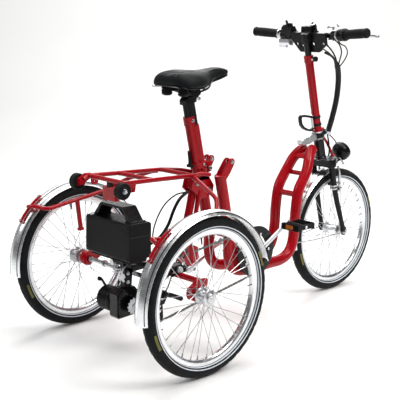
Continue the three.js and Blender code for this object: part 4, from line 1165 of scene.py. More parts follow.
ring = Shape()
chain_wheel(ring, *BRACKET, CHAIN_Y - 1.5, CHAIN_Y + 1.5, 43, 89, 82.5, 62)
guard = [(60, -13), (RING_RADIUS + 5, -11.6), (RING_RADIUS + 6.4, -10), (RING_RADIUS + 5, -8.4), (60, -8)]
ring.turn(guard, placed(BRACKET, CHAIN_Y), segments=72, ring=True)
for i in range(RING_ARMS):
    a = math.tau * i / RING_ARMS
    out = ray(a)
    across = Vector((-math.sin(a), 0, math.cos(a)))
    hub = Vector(placed(BRACKET, CHAIN_Y))
    faces = []
    for y in (-7, -1):
        faces.append([hub + out * r + across * w + Vector((0, y, 0)) for r, w in RING_ARM])
    ring.loft(faces)
ring.turn(
    [(9, -14), (19, -14), (20, -12.6), (20, 8), (9, 8)], placed(BRACKET, CHAIN_Y), segments=32, ring=True,
)
ring.stands("chainring", "crankset", BLACK, bevel=0.5, crease=28)
ring_bolts = Shape()
for i in range(RING_ARMS):
    a = math.tau * i / RING_ARMS
    ring_bolts.bolt(Vector(placed(BRACKET, CHAIN_Y - 12.4)) + ray(a) * 64, RIGHT, 5, 2.2, washer=False)
ring_bolts.piece("chainring_bolts", "crankset", STEEL)

CRANK_FACE = 94
CRANK_SECTIONS = (  # share of the length, half width and thickness
    (-0.09, 9, 8), (-0.05, 14, 12), (0.0, 16, 13), (0.07, 13, 12), (0.16, 9.5, 11), (0.5, 8, 10.5),
    (0.85, 8.4, 10), (0.94, 11, 11), (1.0, 12, 11.5), (1.04, 9.5, 10), (1.065, 5, 7),
)


def squared(value):
    """Draws a circle's cosine or sine out towards a rounded square."""
    return math.copysign(abs(value) ** 0.55, value)


crank_dx = CRANK_LENGTH * math.cos(CRANK_ANGLE)
crank_dz = CRANK_LENGTH * math.sin(CRANK_ANGLE)
for name, side in SIDES:
    tip = Vector((BRACKET[0] - side * crank_dx, 0, BRACKET[1] - side * crank_dz))
    root = Vector(placed(BRACKET, 0))
    along = (tip - root).normalized()
    across = along.cross(Vector(LEFT))
    crank = Shape()
    rings = []
    for share, width, thick in CRANK_SECTIONS:
        middle = root.lerp(tip, share) + Vector((0, side * (CRANK_FACE + 6.5), 0))
        section = []
        for k in range(20):
            t = math.tau * k / 20
            deep = Vector((0, thick / 2 * squared(math.sin(t)), 0))
            section.append(middle + across * (width * squared(math.cos(t))) + deep)
        rings.append(section)
    crank.loft(rings)
    if side > 0:
        crank.tube([placed(BRACKET, -92), placed(BRACKET, 96)], 8, 24)
    crank.stands(f"crank_arm_{name}", "crankset", CAST, crease=40)
    cap = Shape()
    cap.disc(placed(BRACKET, side * (CRANK_FACE + 12.6)), (0, side, 0), 11, 2.4, 28)
    cap.bolt(placed(BRACKET, side * (CRANK_FACE + 15)), (0, side, 0), 6, 1.4, washer=False)
    cap.piece(f"crank_cap_{name}", "crankset", GLOSS_BLACK)

    pedal_place = handed(VEHICLE @ Matrix.Translation(tip), side)
    pedal = Shape(pedal_place)
    pedal.tube([(0, 112, 0), (0, 184, 0)], lambda t: 9 - 2 * t, 24)
    for x in (-42, 42):
        lean = math.copysign(4, x)
        pedal.plate([(x - 4, -11), (x + 4, -11), (x + 4, 11), (x - 4, 11)], 112, 192)
        pedal.plate([(x - lean * 3, -6), (x - lean, -6), (x - lean, 6), (x - lean * 3, 6)], 116, 188)
        for y in range(118, 190, 8):
            pedal.block((x - 5, y, -12.4), (x + 5, y + 4, 12.4))
    for low, high in ((112, 118), (186, 192)):
        pedal.plate([(-44, -8), (44, -8), (38, 9), (-38, 9)], low, high)
    pedal.stands(f"pedal_{name}", f"pedal_{name}_body", PLASTIC, bevel=1.0)
    spindle = Shape(pedal_place)
    spindle.tube([(0, 96, 0), (0, 112, 0)], 4.9, 20)
    spindle.disc((0, 108.6, 0), LEFT, 7.5, 3.4, 6)
    spindle.disc((0, 190, 0), LEFT, 6.5, 2.4, 24)
    spindle.piece(f"pedal_spindle_{name}", f"pedal_{name}_body", STEEL)
    amber = Shape(pedal_place)
    for x in (-47, 47):
        amber.block((x - 1.2, 136, -7), (x + 1.2, 168, 7))
    amber.piece(f"pedal_reflectors_{name}", f"pedal_{name}_body", AMBER, bevel=0.6)


# ---------------------------------------------------------------- seat mast and post


def capsule(cx, half_length, half_width, steps=10):
    """Outline in x and y of a flat-sided tube with round ends."""
    points = []
    for end, start in ((1, -90), (-1, 90)):
        for i in range(steps + 1):
            a = math.radians(start + 180 * i / steps)
            points.append(
                (cx + end * (half_length - half_width) + half_width * math.cos(a), half_width * math.sin(a))
            )
    return points


def mast_outline(half_length, half_width, groove=0.0, groove_width=5.0):
    """Close points round a section of the mast; groove is the share cut from each flat side at its middle."""
    outline = densely(capsule(MAST_X, half_length, half_width, 14))
    return [(x, y * (1 - groove * math.exp(-(((x - MAST_X) / groove_width) ** 2)))) for x, y in outline]


def upright(shape, outline, low, high):
    rings = [[Vector((x, y, z)) for x, y in outline] for z in (low, high)]
    return shape.loft(rings)


def hollow(shape, outer, inner, low, high):
    """A tube between two outlines with the same count of points."""
    rings = [[Vector((x, y, z)) for x, y in outline]
             for outline, z in ((outer, low), (outer, high), (inner, high), (inner, low))]
    return shape.loft(rings, closed=True)


def densely(outline, count=4):
    points = []
    for a, b in zip(outline, outline[1:] + outline[:1]):
        points += [(a[0] + (b[0] - a[0]) * i / count, a[1] + (b[1] - a[1]) * i / count) for i in range(count)]
    return points


MAST_GROOVE = 0.36
STEP = 171  # height where the front half of the mast stops
mast_grooved = mast_outline(27, 15, MAST_GROOVE)
mast_bore = mast_outline(24.2, 12.2, MAST_GROOVE)
mast = Shape(MAST)
hollow(mast, mast_grooved, mast_bore, 3, STEP)
collar_outer = mast_outline(31, 19)
hollow(mast, collar_outer, mast_grooved, 22, 44)
top_outer = mast_outline(29.4, 17.4)
for outer, low, high in ((mast_grooved, STEP, 205), (top_outer, 176, 206)):
    back = [p for p in outer if p[0] < MAST_X + 3]
    inside = mast_bore if outer is mast_grooved else mast_grooved
    mast.plate([*back, *reversed([p for p in inside if p[0] < MAST_X + 3])], low, high, flat="xy")
upright(mast, mast_outline(27, 15), 1, 6)
for side in (-1, 1):
    mast.plate([(-4, -2), (12, -2), (14, 24), (4, 36), (-4, 30)], *span(side, 17.5, 13), [(4, 12, 4.5)])
mast.stands("seat_mast", "seat_mast_body", RED, bevel=0.8)

mast_parts = Shape(MAST)
for side in (-1, 1):
    mast_parts.bolt((MAST_X - 8, side * 17, 191), (0, side, 0), 4.6, 4.4)
    mast_parts.bolt((MAST_X + 8, side * 18.6, 33), (0, side, 0), 4.6, 4, washer=False)
mast_parts.tube(bar_across(4, 12, 22), 4, 20)
mast_parts.bolt((4, 22, 12), LEFT, 6.4, 4)
mast_parts.bolt((4, -22, 12), RIGHT, 6.4, 4)
mast_parts.piece("seat_mast_bolts", "seat_mast_body", STEEL)

clamp = Shape(MAST)
clamp.tube(
    bent([(MAST_X - 38, 0, 40), (MAST_X - 35, 0, 56), (MAST_X - 33, 0, 92)], 10), lambda t: 6 - 1.6 * t, 16,
)
clamp.tube([(MAST_X - 38, -11, 40), (MAST_X - 38, 11, 40)], 6, 24)
clamp.stands("mast_clamp_lever", "clamp_lever_body", BLACK, bevel=0.5)

post = Shape(MAST)
upright(post, mast_outline(23.7, 11.7, 0.42, 5.4), 60, 254)
upright(post, mast_outline(24.4, 12.4), 250, 256)
post.plate([(-52, 248), (-6, 248), (-2, 262), (-2, 276), (-14, 280), (-40, 272), (-50, 264)], -17, 17)
post.tube(bar_across(MAST_X, 258, 18), 12, 32)
post.stands("seat_post", "seat_post_body", BLACK, bevel=0.5)

post_bolts = Shape(MAST)
post_bolts.tube([(MAST_X + 18, -8, 268), (MAST_X + 38, -14, 254)], 5, 20)
post_bolts.bolt((MAST_X + 37, -13.6, 254.6), (20, -6, -14), 5.4, 5)
post_bolts.piece("seat_clamp_bolts", "seat_post_body", STEEL)


# ---------------------------------------------------------------- saddle

RAIL = [(314, 10, 868), (302, 15, 848), (288, 18, 841), (244, 22, 831), (196, 22, 832), (168, 26, 842)]
rails = Shape()
rails.tube(bent([*reversed(RAIL), *mirrored(RAIL)], 12, 6), 3.6, 16)
rails.plate([(206, 822), (248, 822), (252, 830), (248, 843), (206, 843), (202, 832)], -27, 27)
rails.tube(bar_across(178, 841, 36), 6, 20)
for side in (-1, 1):
    rails.plate([(214, 816), (240, 816), (246, 834), (208, 834)], *span(side, 16, 28))
rails.stands("saddle_rails", "seat_post_body", BLACK, bevel=1.0)

springs = Shape()
for side in (-1, 1):
    profile = [
        (0, 0), (10, 0.5), (15, 3), (18, 7), (18.6, 10), (16, 12), (18.6, 14), (18.6, 19), (16, 21),
        (18.6, 23), (18.6, 28), (17, 30), (0, 30),
    ]
    springs.turn(profile, (160, side * 40, 821), UP, 32)
springs.piece("saddle_elastomers", "seat_post_body", GRIP, crease=30)

SADDLE_STATIONS = (
    (116, 34, 882, 865), (119, 56, 889, 859), (126, 72, 896, 854), (140, 86, 901, 851), (160, 93, 904, 850),
    (186, 96, 905, 850), (212, 92, 904, 851), (236, 81, 902, 854), (256, 67, 901, 858), (272, 54, 901, 861),
    (290, 43, 902.5, 865), (312, 34, 906, 868), (334, 29, 909, 872), (356, 26, 911, 877),
    (374, 23, 909.5, 882), (388, 18, 906, 886), (396, 10, 900, 890),
)
DROOP = 17  # how far the wide flanks hang below the crown's own curve


def breadth(half_width):
    """How far a section belongs to the wide rear part, from 0 to 1."""
    return min(1.0, max(0.0, (half_width - 36) / 50))


def saddle_ring(x, half_width, top, bottom, count=28):
    """Domed on top, pulled in below the rim, with a shallow channel along the middle of the wide part."""
    ring = []
    rim = bottom + (top - bottom) * 0.42
    wide = breadth(half_width)
    for i in range(count):
        a = math.tau * i / count
        c, s = math.cos(a), math.sin(a)
        across = half_width * math.copysign(abs(c) ** 0.62, c)
        if s >= 0:
            z = rim + (top - rim) * s ** 0.62
            z -= wide * 5.0 * math.exp(-((across / 9) ** 2))
        else:
            across *= 1 - 0.12 * abs(s)
            z = rim + (rim - bottom) * s
        z -= DROOP * wide * abs(across / half_width) ** 4
        ring.append(Vector((x, across, z)))
    return ring


def swell(made, pressure, frames, cap):
    """Inflates a closed piece as stuffed cloth, no point moving more than cap, and keeps the result."""
    scene = bpy.context.scene
    start = [v.co.copy() for v in made.data.vertices]
    cloth = made.modifiers.new("cloth", "CLOTH")
    cloth.settings.use_pressure = True
    cloth.settings.uniform_pressure_force = pressure
    cloth.settings.effector_weights.gravity = 0
    cloth.settings.tension_stiffness = 40
    cloth.settings.compression_stiffness = 40
    cloth.settings.bending_stiffness = 2
    cloth.point_cache.frame_start = 1
    cloth.point_cache.frame_end = frames
    for number in range(1, frames + 1):
        scene.frame_set(number)
    posed = made.evaluated_get(bpy.context.evaluated_depsgraph_get())
    moved = [v.co.copy() for v in posed.data.vertices]
    made.modifiers.remove(cloth)
    scene.frame_set(1)
    for vertex, before, after in zip(made.data.vertices, start, moved):
        step = after - before
        vertex.co = before + step * min(1.0, cap / max(step.length, 1e-9))


def keep_modified(made):
    """Makes the result of an object's modifiers its own mesh."""
    evaluated = made.evaluated_get(bpy.context.evaluated_depsgraph_get())
    result = bpy.data.meshes.new_from_object(evaluated)
    made.modifiers.clear()
    made.data = result


saddle_shape = Shape().loft([saddle_ring(*station) for station in SADDLE_STATIONS])
saddle = bpy.data.objects.new("saddle", saddle_shape.mesh("saddle"))
bpy.context.scene.collection.objects.link(saddle)
fine = saddle.modifiers.new("fine", "SUBSURF")
fine.levels = 2
keep_modified(saddle)
remesh = saddle.modifiers.new("even", "REMESH")
remesh.mode = "VOXEL"
remesh.voxel_size = 0.004
keep_modified(saddle)
swell(saddle, pressure=3.0, frames=16, cap=0.0035)


def sew(made, seams, width=0.0024, depth=0.0024):
    """Presses narrow grooves into the upper side of a mesh, under lines of points seen from above."""
    for vertex in made.data.vertices:
        if vertex.normal.z < 0.1:
            continue
        near = min(distance_to(vertex.co.xy, seam) for seam in seams)
        if near < width * 2.5:
            vertex.co -= vertex.normal * depth * math.exp(-((near / width) ** 2))


def distance_to(point, seam):
    best = 1.0
    for a, b in zip(seam, seam[1:]):
        step = b - a
        t = min(1.0, max(0.0, (point - a).dot(step) / step.length_squared))
        best = min(best, (point - a - step * t).length)
    return best


seams = []
for side in (-1, 1):
    line = [(126, 34), (150, 46), (190, 50), (232, 42), (268, 27), (310, 16), (360, 12), (390, 5)]
    seams.append([(VEHICLE @ Vector((x, side * y, 0))).xy for x, y in line])
rear_panel = [(124, -46), (142, -30), (150, 0), (142, 30), (124, 46)]
seams.append([(VEHICLE @ Vector((x, y, 0))).xy for x, y in rear_panel])
sew(saddle, seams)
dress(saddle, "seat_post_body", VINYL, "saddle", level=1)

piping = Shape()
rim_points = []
for x, half_width, top, bottom in SADDLE_STATIONS:
    low = bottom + (top - bottom) * 0.3 - DROOP * breadth(half_width)
    rim_points.append(Vector((x, half_width + 1.2, low)))
for line in (rim_points[2:-2], mirrored(rim_points[2:-2])):
    piping.tube(spline(line, 5), 1.6, 10)
piping.piece("saddle_piping", "seat_post_body", SMOOTH_PLASTIC)

BASE_SHARE = 0.86  # width of the base, as a share of the saddle's
base = Shape()
left_edge = [
    Vector((x, half_width * BASE_SHARE, bottom + 1)) for x, half_width, _, bottom in SADDLE_STATIONS[1:-1]
]
upper = [*left_edge, *reversed(mirrored(left_edge))]
base.loft([[p + Vector((0, 0, -4)) for p in upper], upper])
base.piece("saddle_base", "seat_post_body", PLASTIC, bevel=1.0)


# ---------------------------------------------------------------- fork, lamp and front brake

FORK_Y = 45
CROWN_LOW, CROWN_HIGH = -133, -101.3
fork = Shape(HEAD)
fork.plate(both_ways([(-16, -52), (-8, -56), (24, -56), (34, -46)]), CROWN_LOW + 4,
           CROWN_HIGH, flat="xy")
for side in (-1, 1):
    leg = bent(
        [(4, side * FORK_Y, -108), (6, side * 46, -250), (FORK_OFFSET, side * 56, FRONT_AXLE_DROP)], 70, 10,
    )
    fork.tube(leg, lambda t: 12.5 - 3.5 * t, 28)
    fork.turn([(13, -3), (17, -3), (19, -1), (19, 26), (17, 30), (13, 30)], (4, side * FORK_Y, -130), UP, 32,
              ring=True)
    drop = [(FORK_OFFSET - 16, -400), (FORK_OFFSET - 12, -424), (FORK_OFFSET, -430), (FORK_OFFSET + 13, -424),
            (FORK_OFFSET + 16, -404), (FORK_OFFSET + 6, -388), (FORK_OFFSET - 8, -386)]
    fork.plate(drop, *span(side, 52, 60), [(FORK_OFFSET, FRONT_AXLE_DROP, 7.4)])
    fork.tube([(6, side * FORK_Y, -232), (27, side * FORK_Y, -232)], 7, 20)
fork.tube([(0, 0, -112), (0, 0, -6)], 12.4, 28)
fork.turn(
    [(0, -14), (21, -14), (22.6, -12), (24, -8), (24, 3), (22.8, 6), (20, 8), (0, 8)], axis=UP, segments=48,
)
fork.stands("fork", "fork_body", BLACK, bevel=1.2)

lobe = Shape(HEAD)
lobe.plate(
    [(-100, -12), (-112, -4), (-112, 6), (-100, 12), (-70, 12), (-34, 12), (-20, 4), (-20, -12), (-60, -18)],
    -11, 11,
)
lobe.tube(bar_across(-98, -1, 15), 11, 28)
lobe.tube(bar_across(-62, 2, 14), 9, 28)
lobe.piece("stem_base_casting", "fork_body", CAST, bevel=1.4)

hinge_ears = Shape(HEAD)
for side in (-1, 1):
    hinge_ears.plate([(-20, -11), (34, -7), (38, 6), (33, 14), (20, 14), (14, 6), (-18, 10)],
                     *span(side, 9, 16), [(28, 5.6, 3.4)])
hinge_ears.piece("stem_hinge_ears", "fork_body", BLACK, bevel=1.2)
hinge_pin = Shape(HEAD).tube(bar_across(28, 11, 18), 4.2, 20)
for side in (-1, 1):
    hinge_pin.bolt((28, side * 17, 11), (0, side, 0), 6.2, 3.4, washer=False)
hinge_pin.piece("stem_hinge_pin", "fork_body", STEEL)

collar = Shape(HEAD)
collar.turn(
    [(15, -14.4), (23.4, -14.4), (24.2, -13.6), (24.2, -12), (15, -11.8)], axis=UP, segments=48, ring=True,
)
collar.turn(
    [(20, 8), (21.4, 8.6), (21.4, 12.4), (20, 13.4), (17.4, 13.4), (17.4, 8)], axis=UP, segments=48,
    ring=True,
)
collar.piece("steering_collar", "fork_body", STEEL)

axle_parts = Shape(HEAD)
for side in (-1, 1):
    out = (0, side, 0)
    axle_parts.tube(
        [(FORK_OFFSET, side * 47, FRONT_AXLE_DROP), (FORK_OFFSET, side * 70, FRONT_AXLE_DROP)], 4.8, 20,
    )
    axle_parts.bolt((FORK_OFFSET, side * 60.2, FRONT_AXLE_DROP), out, 9.2, 7)
axle_parts.piece("front_axle_nuts", "fork_body", STEEL)

leg_bands = Shape(HEAD)
for side in (-1, 1):
    for z in (-214, -226):
        leg_bands.turn(
            [(12.2, 0), (12.9, 0.4), (12.9, 5.4), (12.2, 5.8)], (6, side * 45.8, z), UP, 32, ring=True,
        )
leg_bands.piece("fork_leg_bands", "fork_body", CAST)

lamp_axis = Vector((30, 0, 6.6)).normalized()
lamp_back = Vector((99, 0, -121.5))
lamp = Shape(HEAD)
lamp.turn(
    [
        (0, 0), (10, 0), (17, 2), (25, 6), (32, 12), (36.4, 19), (38, 27), (38, 41), (36.8, 43.6),
        (34.8, 43.6), (34, 39), (28, 30), (0, 20),
    ],
    lamp_back, lamp_axis, 56,
)
lamp.tube(spline([(62, 0, -122), (78, 0, -136), (96, 0, -145), (120, 0, -146)], 8), 4.4, 20)
lamp.disc(lamp_back - lamp_axis * 5, lamp_axis, 9, 8, 28)
lamp.stands("headlight", "fork_body", SMOOTH_PLASTIC, bevel=0.5, crease=30)
face = Shape(HEAD)
face.turn([(0, 31), (20, 33), (33.6, 38), (34, 40.4), (26, 42.6), (0, 44)], lamp_back, lamp_axis, 56)
face.piece("headlight_lens", "fork_body", GLASS, crease=30)
stay = Shape(HEAD)
stay.tube(bent([(26, 2, -16), (44, 2, -40), (62, 0, -84), (74, 0, -122)], 14), 5.2, 20)
stay.plate([(64, -128), (82, -126), (84, -112), (66, -112)], -8, 8)
stay.piece("headlight_stay", "fork_body", RED, bevel=0.8)
lamp_bits = Shape(HEAD)
for side in (-1, 1):
    lamp_bits.bolt((74, side * 8, -120), (0, side, 0), 5, 3.4)
lamp_bits.tube([(108, -22, -160), (103, -19, -146), (97, -14, -128)], lambda t: 4.2 - 1.2 * t, 14)
lamp_bits.tube([(88, -6, -150), (88, -4, -126)], lambda t: 4.6 - 1.6 * t, 14)
lamp_bits.piece("headlight_fittings", "fork_body", STEEL)

front_guard = fender(Shape(), WHEELBASE, 0, FENDER_RADIUS - 4, 100, 190)
front_guard.stands("front_fender", "fork_body", POLISHED, crease=50)
guard_stays = Shape()
for side in (-1, 1):
    guard_stays.tube(
        bent(
            [
                (WHEELBASE - 252, side * 24, 234), (WHEELBASE - 180, side * 44, 236),
                (WHEELBASE - 10, side * 64, 246),
            ],
            30,
        ),
        2, 12,
    )
guard_stays.piece("front_fender_stays", "fork_body", STEEL)

for name, side in SIDES:
    arm = Shape(HEAD)
    route = spline(
        [
            (36, side * 45, -246), (37, side * 46, -224), (40, side * 50, -186), (42, side * 50, -160),
            (42, side * 45, -142),
        ],
        8,
    )
    arm.tube(route, lambda t: 6.6 - 2.4 * t, 18)
    arm.turn(
        [(4, -6), (9, -6), (9.6, -5), (9.6, 6), (8.6, 7), (4, 7)], (35, side * 45, -232), AHEAD, 28,
        ring=True,
    )
    arm.tube([(32, side * 24, -209.5), (37, side * 46, -212)], 4, 16)
    arm.bolt((35, side * 51, -212), (0, side, 0), 5, 4)
    arm.bolt((42, side * 45, -232), AHEAD, 5, 3, washer=False)
    arm.stands(f"brake_arm_{name}", f"brake_arm_{name}_body", CAST, bevel=0.5)
    pad = Shape(HEAD)
    pad.plate([(4, -214), (8, -205), (40, -205), (44, -213.5), (24, -214.5)], *span(side, 14.6, 22))
    pad.plate([(10, -213), (10, -206.4), (38, -206.4), (38, -213)], *span(side, 22, 24.5))
    pad.piece(f"brake_pad_{name}", f"brake_arm_{name}_body", GRIP, bevel=1.0)

noodle = Shape(HEAD)
noodle.tube(
    spline([(46, 45, -140), (50, 30, -134), (54, 8, -118), (52, -4, -84), (48, -8, -40), (46, -8, -8)], 10),
    2.6, 14,
)
noodle.piece("front_brake_noodle", "fork_body", HOUSING)


# ---------------------------------------------------------------- folding stem

stem = Shape(HEAD)
stem.turn([(13.1, 24), (15, 24), (16, 26), (16, 286), (13.1, 286)], axis=UP, segments=40, ring=True)
stem.turn([(0, 9.4), (18.6, 9.4), (20, 11), (20, 19), (18.6, 22), (16, 26), (0, 26)], axis=UP, segments=40)
stem.block((10, -8, 9.4), (33, 8, 18))
weld(stem, (0, 0, 27), UP, 15.8, 1.6)
stem.stands("stem_tube", "stem_body", RED, bevel=0.7)

top_collar = Shape(HEAD)
top_collar.turn(
    [(13.1, 283), (17, 283), (18.4, 285), (18.4, 310), (17, 312), (13.1, 312)], axis=UP, segments=48,
    ring=True,
)
top_collar.piece("stem_top_collar", "stem_body", RED, bevel=0.6)
stem_top = Shape(HEAD)
stem_top.block((-4, -30, 290), (4, -18, 306))
stem_top.disc((0, -28, 299), (0, -1, -0.05), 9, 10, 32)
for angle in range(0, 360, 30):
    a = math.radians(angle)
    x, z = 8.8 * math.cos(a), 299 + 8.8 * math.sin(a)
    stem_top.tube([(x, -28.4, z), (x, -37.6, z - 0.4)], 1.2, 8)
stem_top.piece("stem_top_clamp", "stem_body", BLACK, bevel=0.7)

LATCH = [(-24, 30), (-40, 28), (-60, 36), (-80, 50), (-92, 68), (-92, 94), (-84, 99), (-60, 92), (-24, 76)]
latch = Shape(HEAD)
latch_route = bent([(x, 0, z) for x, z in LATCH], 6, 5)
strap = []
for i, p in enumerate(latch_route):
    before = latch_route[max(0, i - 1)]
    after = latch_route[min(len(latch_route) - 1, i + 1)]
    along = (after - before).normalized()
    up = along.cross(Vector(LEFT))
    strap.append([p + up * u + Vector((0, w, 0)) for u, w in ((-4, -6), (4, -6), (4, 6), (-4, 6))])
latch.loft(strap)
latch.stands("stem_latch", "latch_body", BLACK, bevel=1.2)

latch_hinge = Shape(HEAD)
latch_hinge.tube([(-24, 0, 26), (-24, 0, 82)], 5.4, 24)
latch_hinge.disc((-24, 0, 80), UP, 7.4, 5, 28)
latch_hinge.disc((-24, 0, 24), UP, 7.4, 4, 28)
latch_hinge.piece("latch_hinge_pin", "latch_body", STEEL)

bracket_band = Shape(HEAD)
for low in (36, 66):
    bracket_band.turn(
        [(16.1, low), (18.4, low), (18.4, low + 9), (16.1, low + 9)], axis=UP, segments=40, ring=True,
    )
    bracket_band.block((-19, -5, low), (-16, 5, low + 9))
bracket_band.piece("latch_bands", "stem_body", BLACK, bevel=0.6)


# ---------------------------------------------------------------- handlebar


def bar_point(side, y):
    """Middle of the bar at a distance y out from the stem."""
    share = max(0.0, (y - BAR_BEND) / (BAR_HALF_SPAN - BAR_BEND))
    x = BAR_FORWARD + (BAR_END[0] - BAR_FORWARD) * share
    return Vector((x, side * y, BAR_HEIGHT + (BAR_END[1] - BAR_HEIGHT) * share))


bar = Shape(HEAD)
corners = [
    bar_point(side, y)
    for side, y in ((1, BAR_HALF_SPAN), (1, BAR_BEND), (-1, BAR_BEND), (-1, BAR_HALF_SPAN))
]
bar.tube(bent(corners, 22, 8), 11, 32)
bar.tube([(0, 0, 60), (0, 0, 384)], 12.5, 36)
bar.stands("handlebar", "handlebar_body", GLOSS_BLACK, bevel=0.5)

bar_clamp = Shape(HEAD)
bar_clamp.turn(both_ways([(11.2, -24), (17.5, -24), (19, -22.4)]), (BAR_FORWARD, 0, BAR_HEIGHT), segments=40,
               ring=True)
bar_clamp.plate([(-14, 372), (30, 364), (34, 398), (14, 402), (-14, 394)], -16, 16)
bar_clamp.turn([(0, 364), (15, 364), (16.4, 366), (16.4, 392), (14, 395), (0, 395)], axis=UP, segments=40)
bar_clamp.piece("handlebar_clamp", "handlebar_body", BLACK, bevel=1.2)

bar_plate = Shape(HEAD)
outline = [
    (-84, 390), (-80, 394), (74, 397), (79, 393), (84, 372), (46, 324), (42, 322), (-46, 322), (-52, 324),
    (-84, 352),
]
bar_plate.plate(outline, 8, 18, [(56, 352, 6), (31, 346, 5.4), (-22, 353, 6.4)], flat="yz")
bar_plate.block((17, -60, 366), (22, 50, 386))
bar_plate.piece("handlebar_plate", "handlebar_body", BLACK, bevel=1.0)

KNOB_AXIS = (-0.5, -0.2, 0.8)
plate_screws = Shape(HEAD)
plate_screws.bolt((8, -74, 356), BACK, 4.2, 2.6, washer=False)
plate_screws.bolt((-8, -24, 299), BACK, 4.2, 3, washer=False)
plate_screws.turn(
    [(5.8, 0), (10.4, 0), (11.4, 1), (11.4, 4), (10.4, 5), (5.8, 5)], (22, -20.4, 425.6), KNOB_AXIS, 32,
    ring=True,
)
plate_screws.piece("stem_knob_ring", "handlebar_body", STEEL)


def sleeve(shape, side, y0, y1, profile, segments=40):
    """Turns [radius, share of the length] points round the sloping outer part of the bar."""
    a, b = bar_point(side, y0), bar_point(side, y1)
    along = (b - a).normalized()
    length = (b - a).length
    return shape.turn([(r, length * share) for r, share in profile], a, along, segments, ring=True)


for name, side, start in (("left", 1, 160), ("right", -1, 169)):
    grip = Shape(HEAD)
    ribs = [(11.2, 0.0), (17.6, 0.0), (18.6, 0.02), (18.6, 0.05), (15.6, 0.07)]
    for i in range(13):
        at = 0.1 + 0.06 * i
        swollen = 15.4 + 1.3 * math.sin(math.pi * (at - 0.05))
        ribs += [
            (swollen, at), (swollen + 0.9, at + 0.008), (swollen + 0.9, at + 0.03), (swollen, at + 0.038),
        ]
    ribs += [(16.2, 0.9), (17.8, 0.93), (18.2, 0.97), (16.6, 1.01), (11.2, 1.01)]
    sleeve(grip, side, start, GRIP_END, ribs)
    end = bar_point(side, GRIP_END + 0.5)
    grip.disc(end, end - bar_point(side, 180), 14, 2.5, 32, chamfer=1.4)
    grip.stands(f"grip_{name}", "handlebar_body", GRIP, crease=30)

shifter = Shape(HEAD)
profile = [
    (12.3, 0), (19, 0), (21, 0.04), (22.5, 0.12), (22.5, 0.4), (20.5, 0.46), (19.5, 0.5), (22, 0.55),
    (22, 0.9), (20, 1.0), (12.3, 1.0),
]
sleeve(shifter, -1, 130, 168, profile, 48)
middle = bar_point(-1, 159)
outward = (bar_point(-1, 170) - bar_point(-1, 150)).normalized()
for i in range(18):
    a = math.tau * i / 18
    u = Vector(AHEAD)
    w = u.cross(outward).normalized()
    ridge = (u * math.cos(a) + w * math.sin(a)) * 21.6
    shifter.tube([middle - outward * 6 + ridge, middle + outward * 6 + ridge], 1.8, 8)
shifter.stands("twist_shifter", "shifter_body", SMOOTH_PLASTIC, bevel=0.4, crease=28)

for name, side in SIDES:
    mirror = handed(HEAD, side)
    lever = Shape(mirror)
    route = spline(
        [
            (50, 108, 380), (64, 120, 377), (76, 136, 374), (81, 162, 372.5), (82, 188, 372),
            (78, 228, 372), (70, 266, 372),
        ],
        8,
    )
    blade = []
    for i, p in enumerate(route):
        before, after = route[max(0, i - 1)], route[min(len(route) - 1, i + 1)]
        along = (after - before).normalized()
        across = along.cross(Vector(UP)).normalized()
        up = across.cross(along)
        share = i / (len(route) - 1)
        wide = 5.2 + 1.6 * math.sin(math.pi * share)
        section = []
        for k in range(16):
            t = math.tau * k / 16
            section.append(p + up * (wide * math.sin(t)) + across * (3.4 * math.cos(t)))
        blade.append(section)
    lever.loft(blade)
    lever.turn(both_ways([(0, -7), (5, -6), (7, -3)], (7.4, 0)), (70, 269, 372), LEFT, 20)
    lever.disc((50, 112, 372), UP, 8, 17, 28)
    lever.stands(f"brake_lever_{name}", f"lever_{name}_body", CAST, crease=40)

    perch = Shape(mirror)
    perch.turn(both_ways([(11.2, -9), (15.5, -9), (16.6, -8)]), bar_point(1, 106), LEFT, 36,
               ring=True)
    for low, high in ((385, 391), (367, 371.5)):
        perch.plate([(20, 86), (54, 82), (58, 104), (44, 122), (26, 118)], low, high, flat="xy")
    perch.block((26, 84, 370), (50, 98, 388))
    perch.tube([(40, 92, 379), (34, 74, 378)], lambda t: 7 - 2.4 * t, 20)
    perch.piece(f"lever_perch_{name}", "handlebar_body", BLACK, bevel=1.2)
    perch_bolts = Shape(mirror)
    perch_bolts.bolt((50, 112, 391), UP, 5.2, 3, washer=False)
    perch_bolts.bolt((26, 106, 366), (-0.2, 0, -1), 4, 3, washer=False)
    perch_bolts.turn([(2.6, 0), (4.8, 0), (4.8, 9), (2.6, 9)], (34, 74, 378), (-0.3, -1, 0), 20, ring=True)
    perch_bolts.piece(f"lever_adjuster_{name}", "handlebar_body", STEEL)

controls = Shape(HEAD)
controls.turn(both_ways([(11.2, -12), (17, -12), (19, -10)]), bar_point(1, 128), LEFT, 36, ring=True)
controls.plate([(14, 380), (46, 372), (50, 392), (42, 412), (22, 416), (12, 402)], 84, 134)
controls.plate([(18, 408), (36, 406), (34, 424), (24, 428)], 88, 102)
controls.plate([(20, 408), (38, 406), (34, 422), (24, 420)], 118, 130)
controls.tube(bent([(28, 110, 408), (26, 108, 428), (20, 106, 438)], 6), lambda t: 6 - 2 * t, 16)
controls.tube(bent([(18, 124, 400), (4, 132, 404), (-4, 134, 396)], 8), 4, 14)
controls.disc((46, 100, 396), (0.9, 0, 0.5), 9, 7, 28)
controls.piece("thumb_controls", "handlebar_body", SMOOTH_PLASTIC, bevel=2.0)

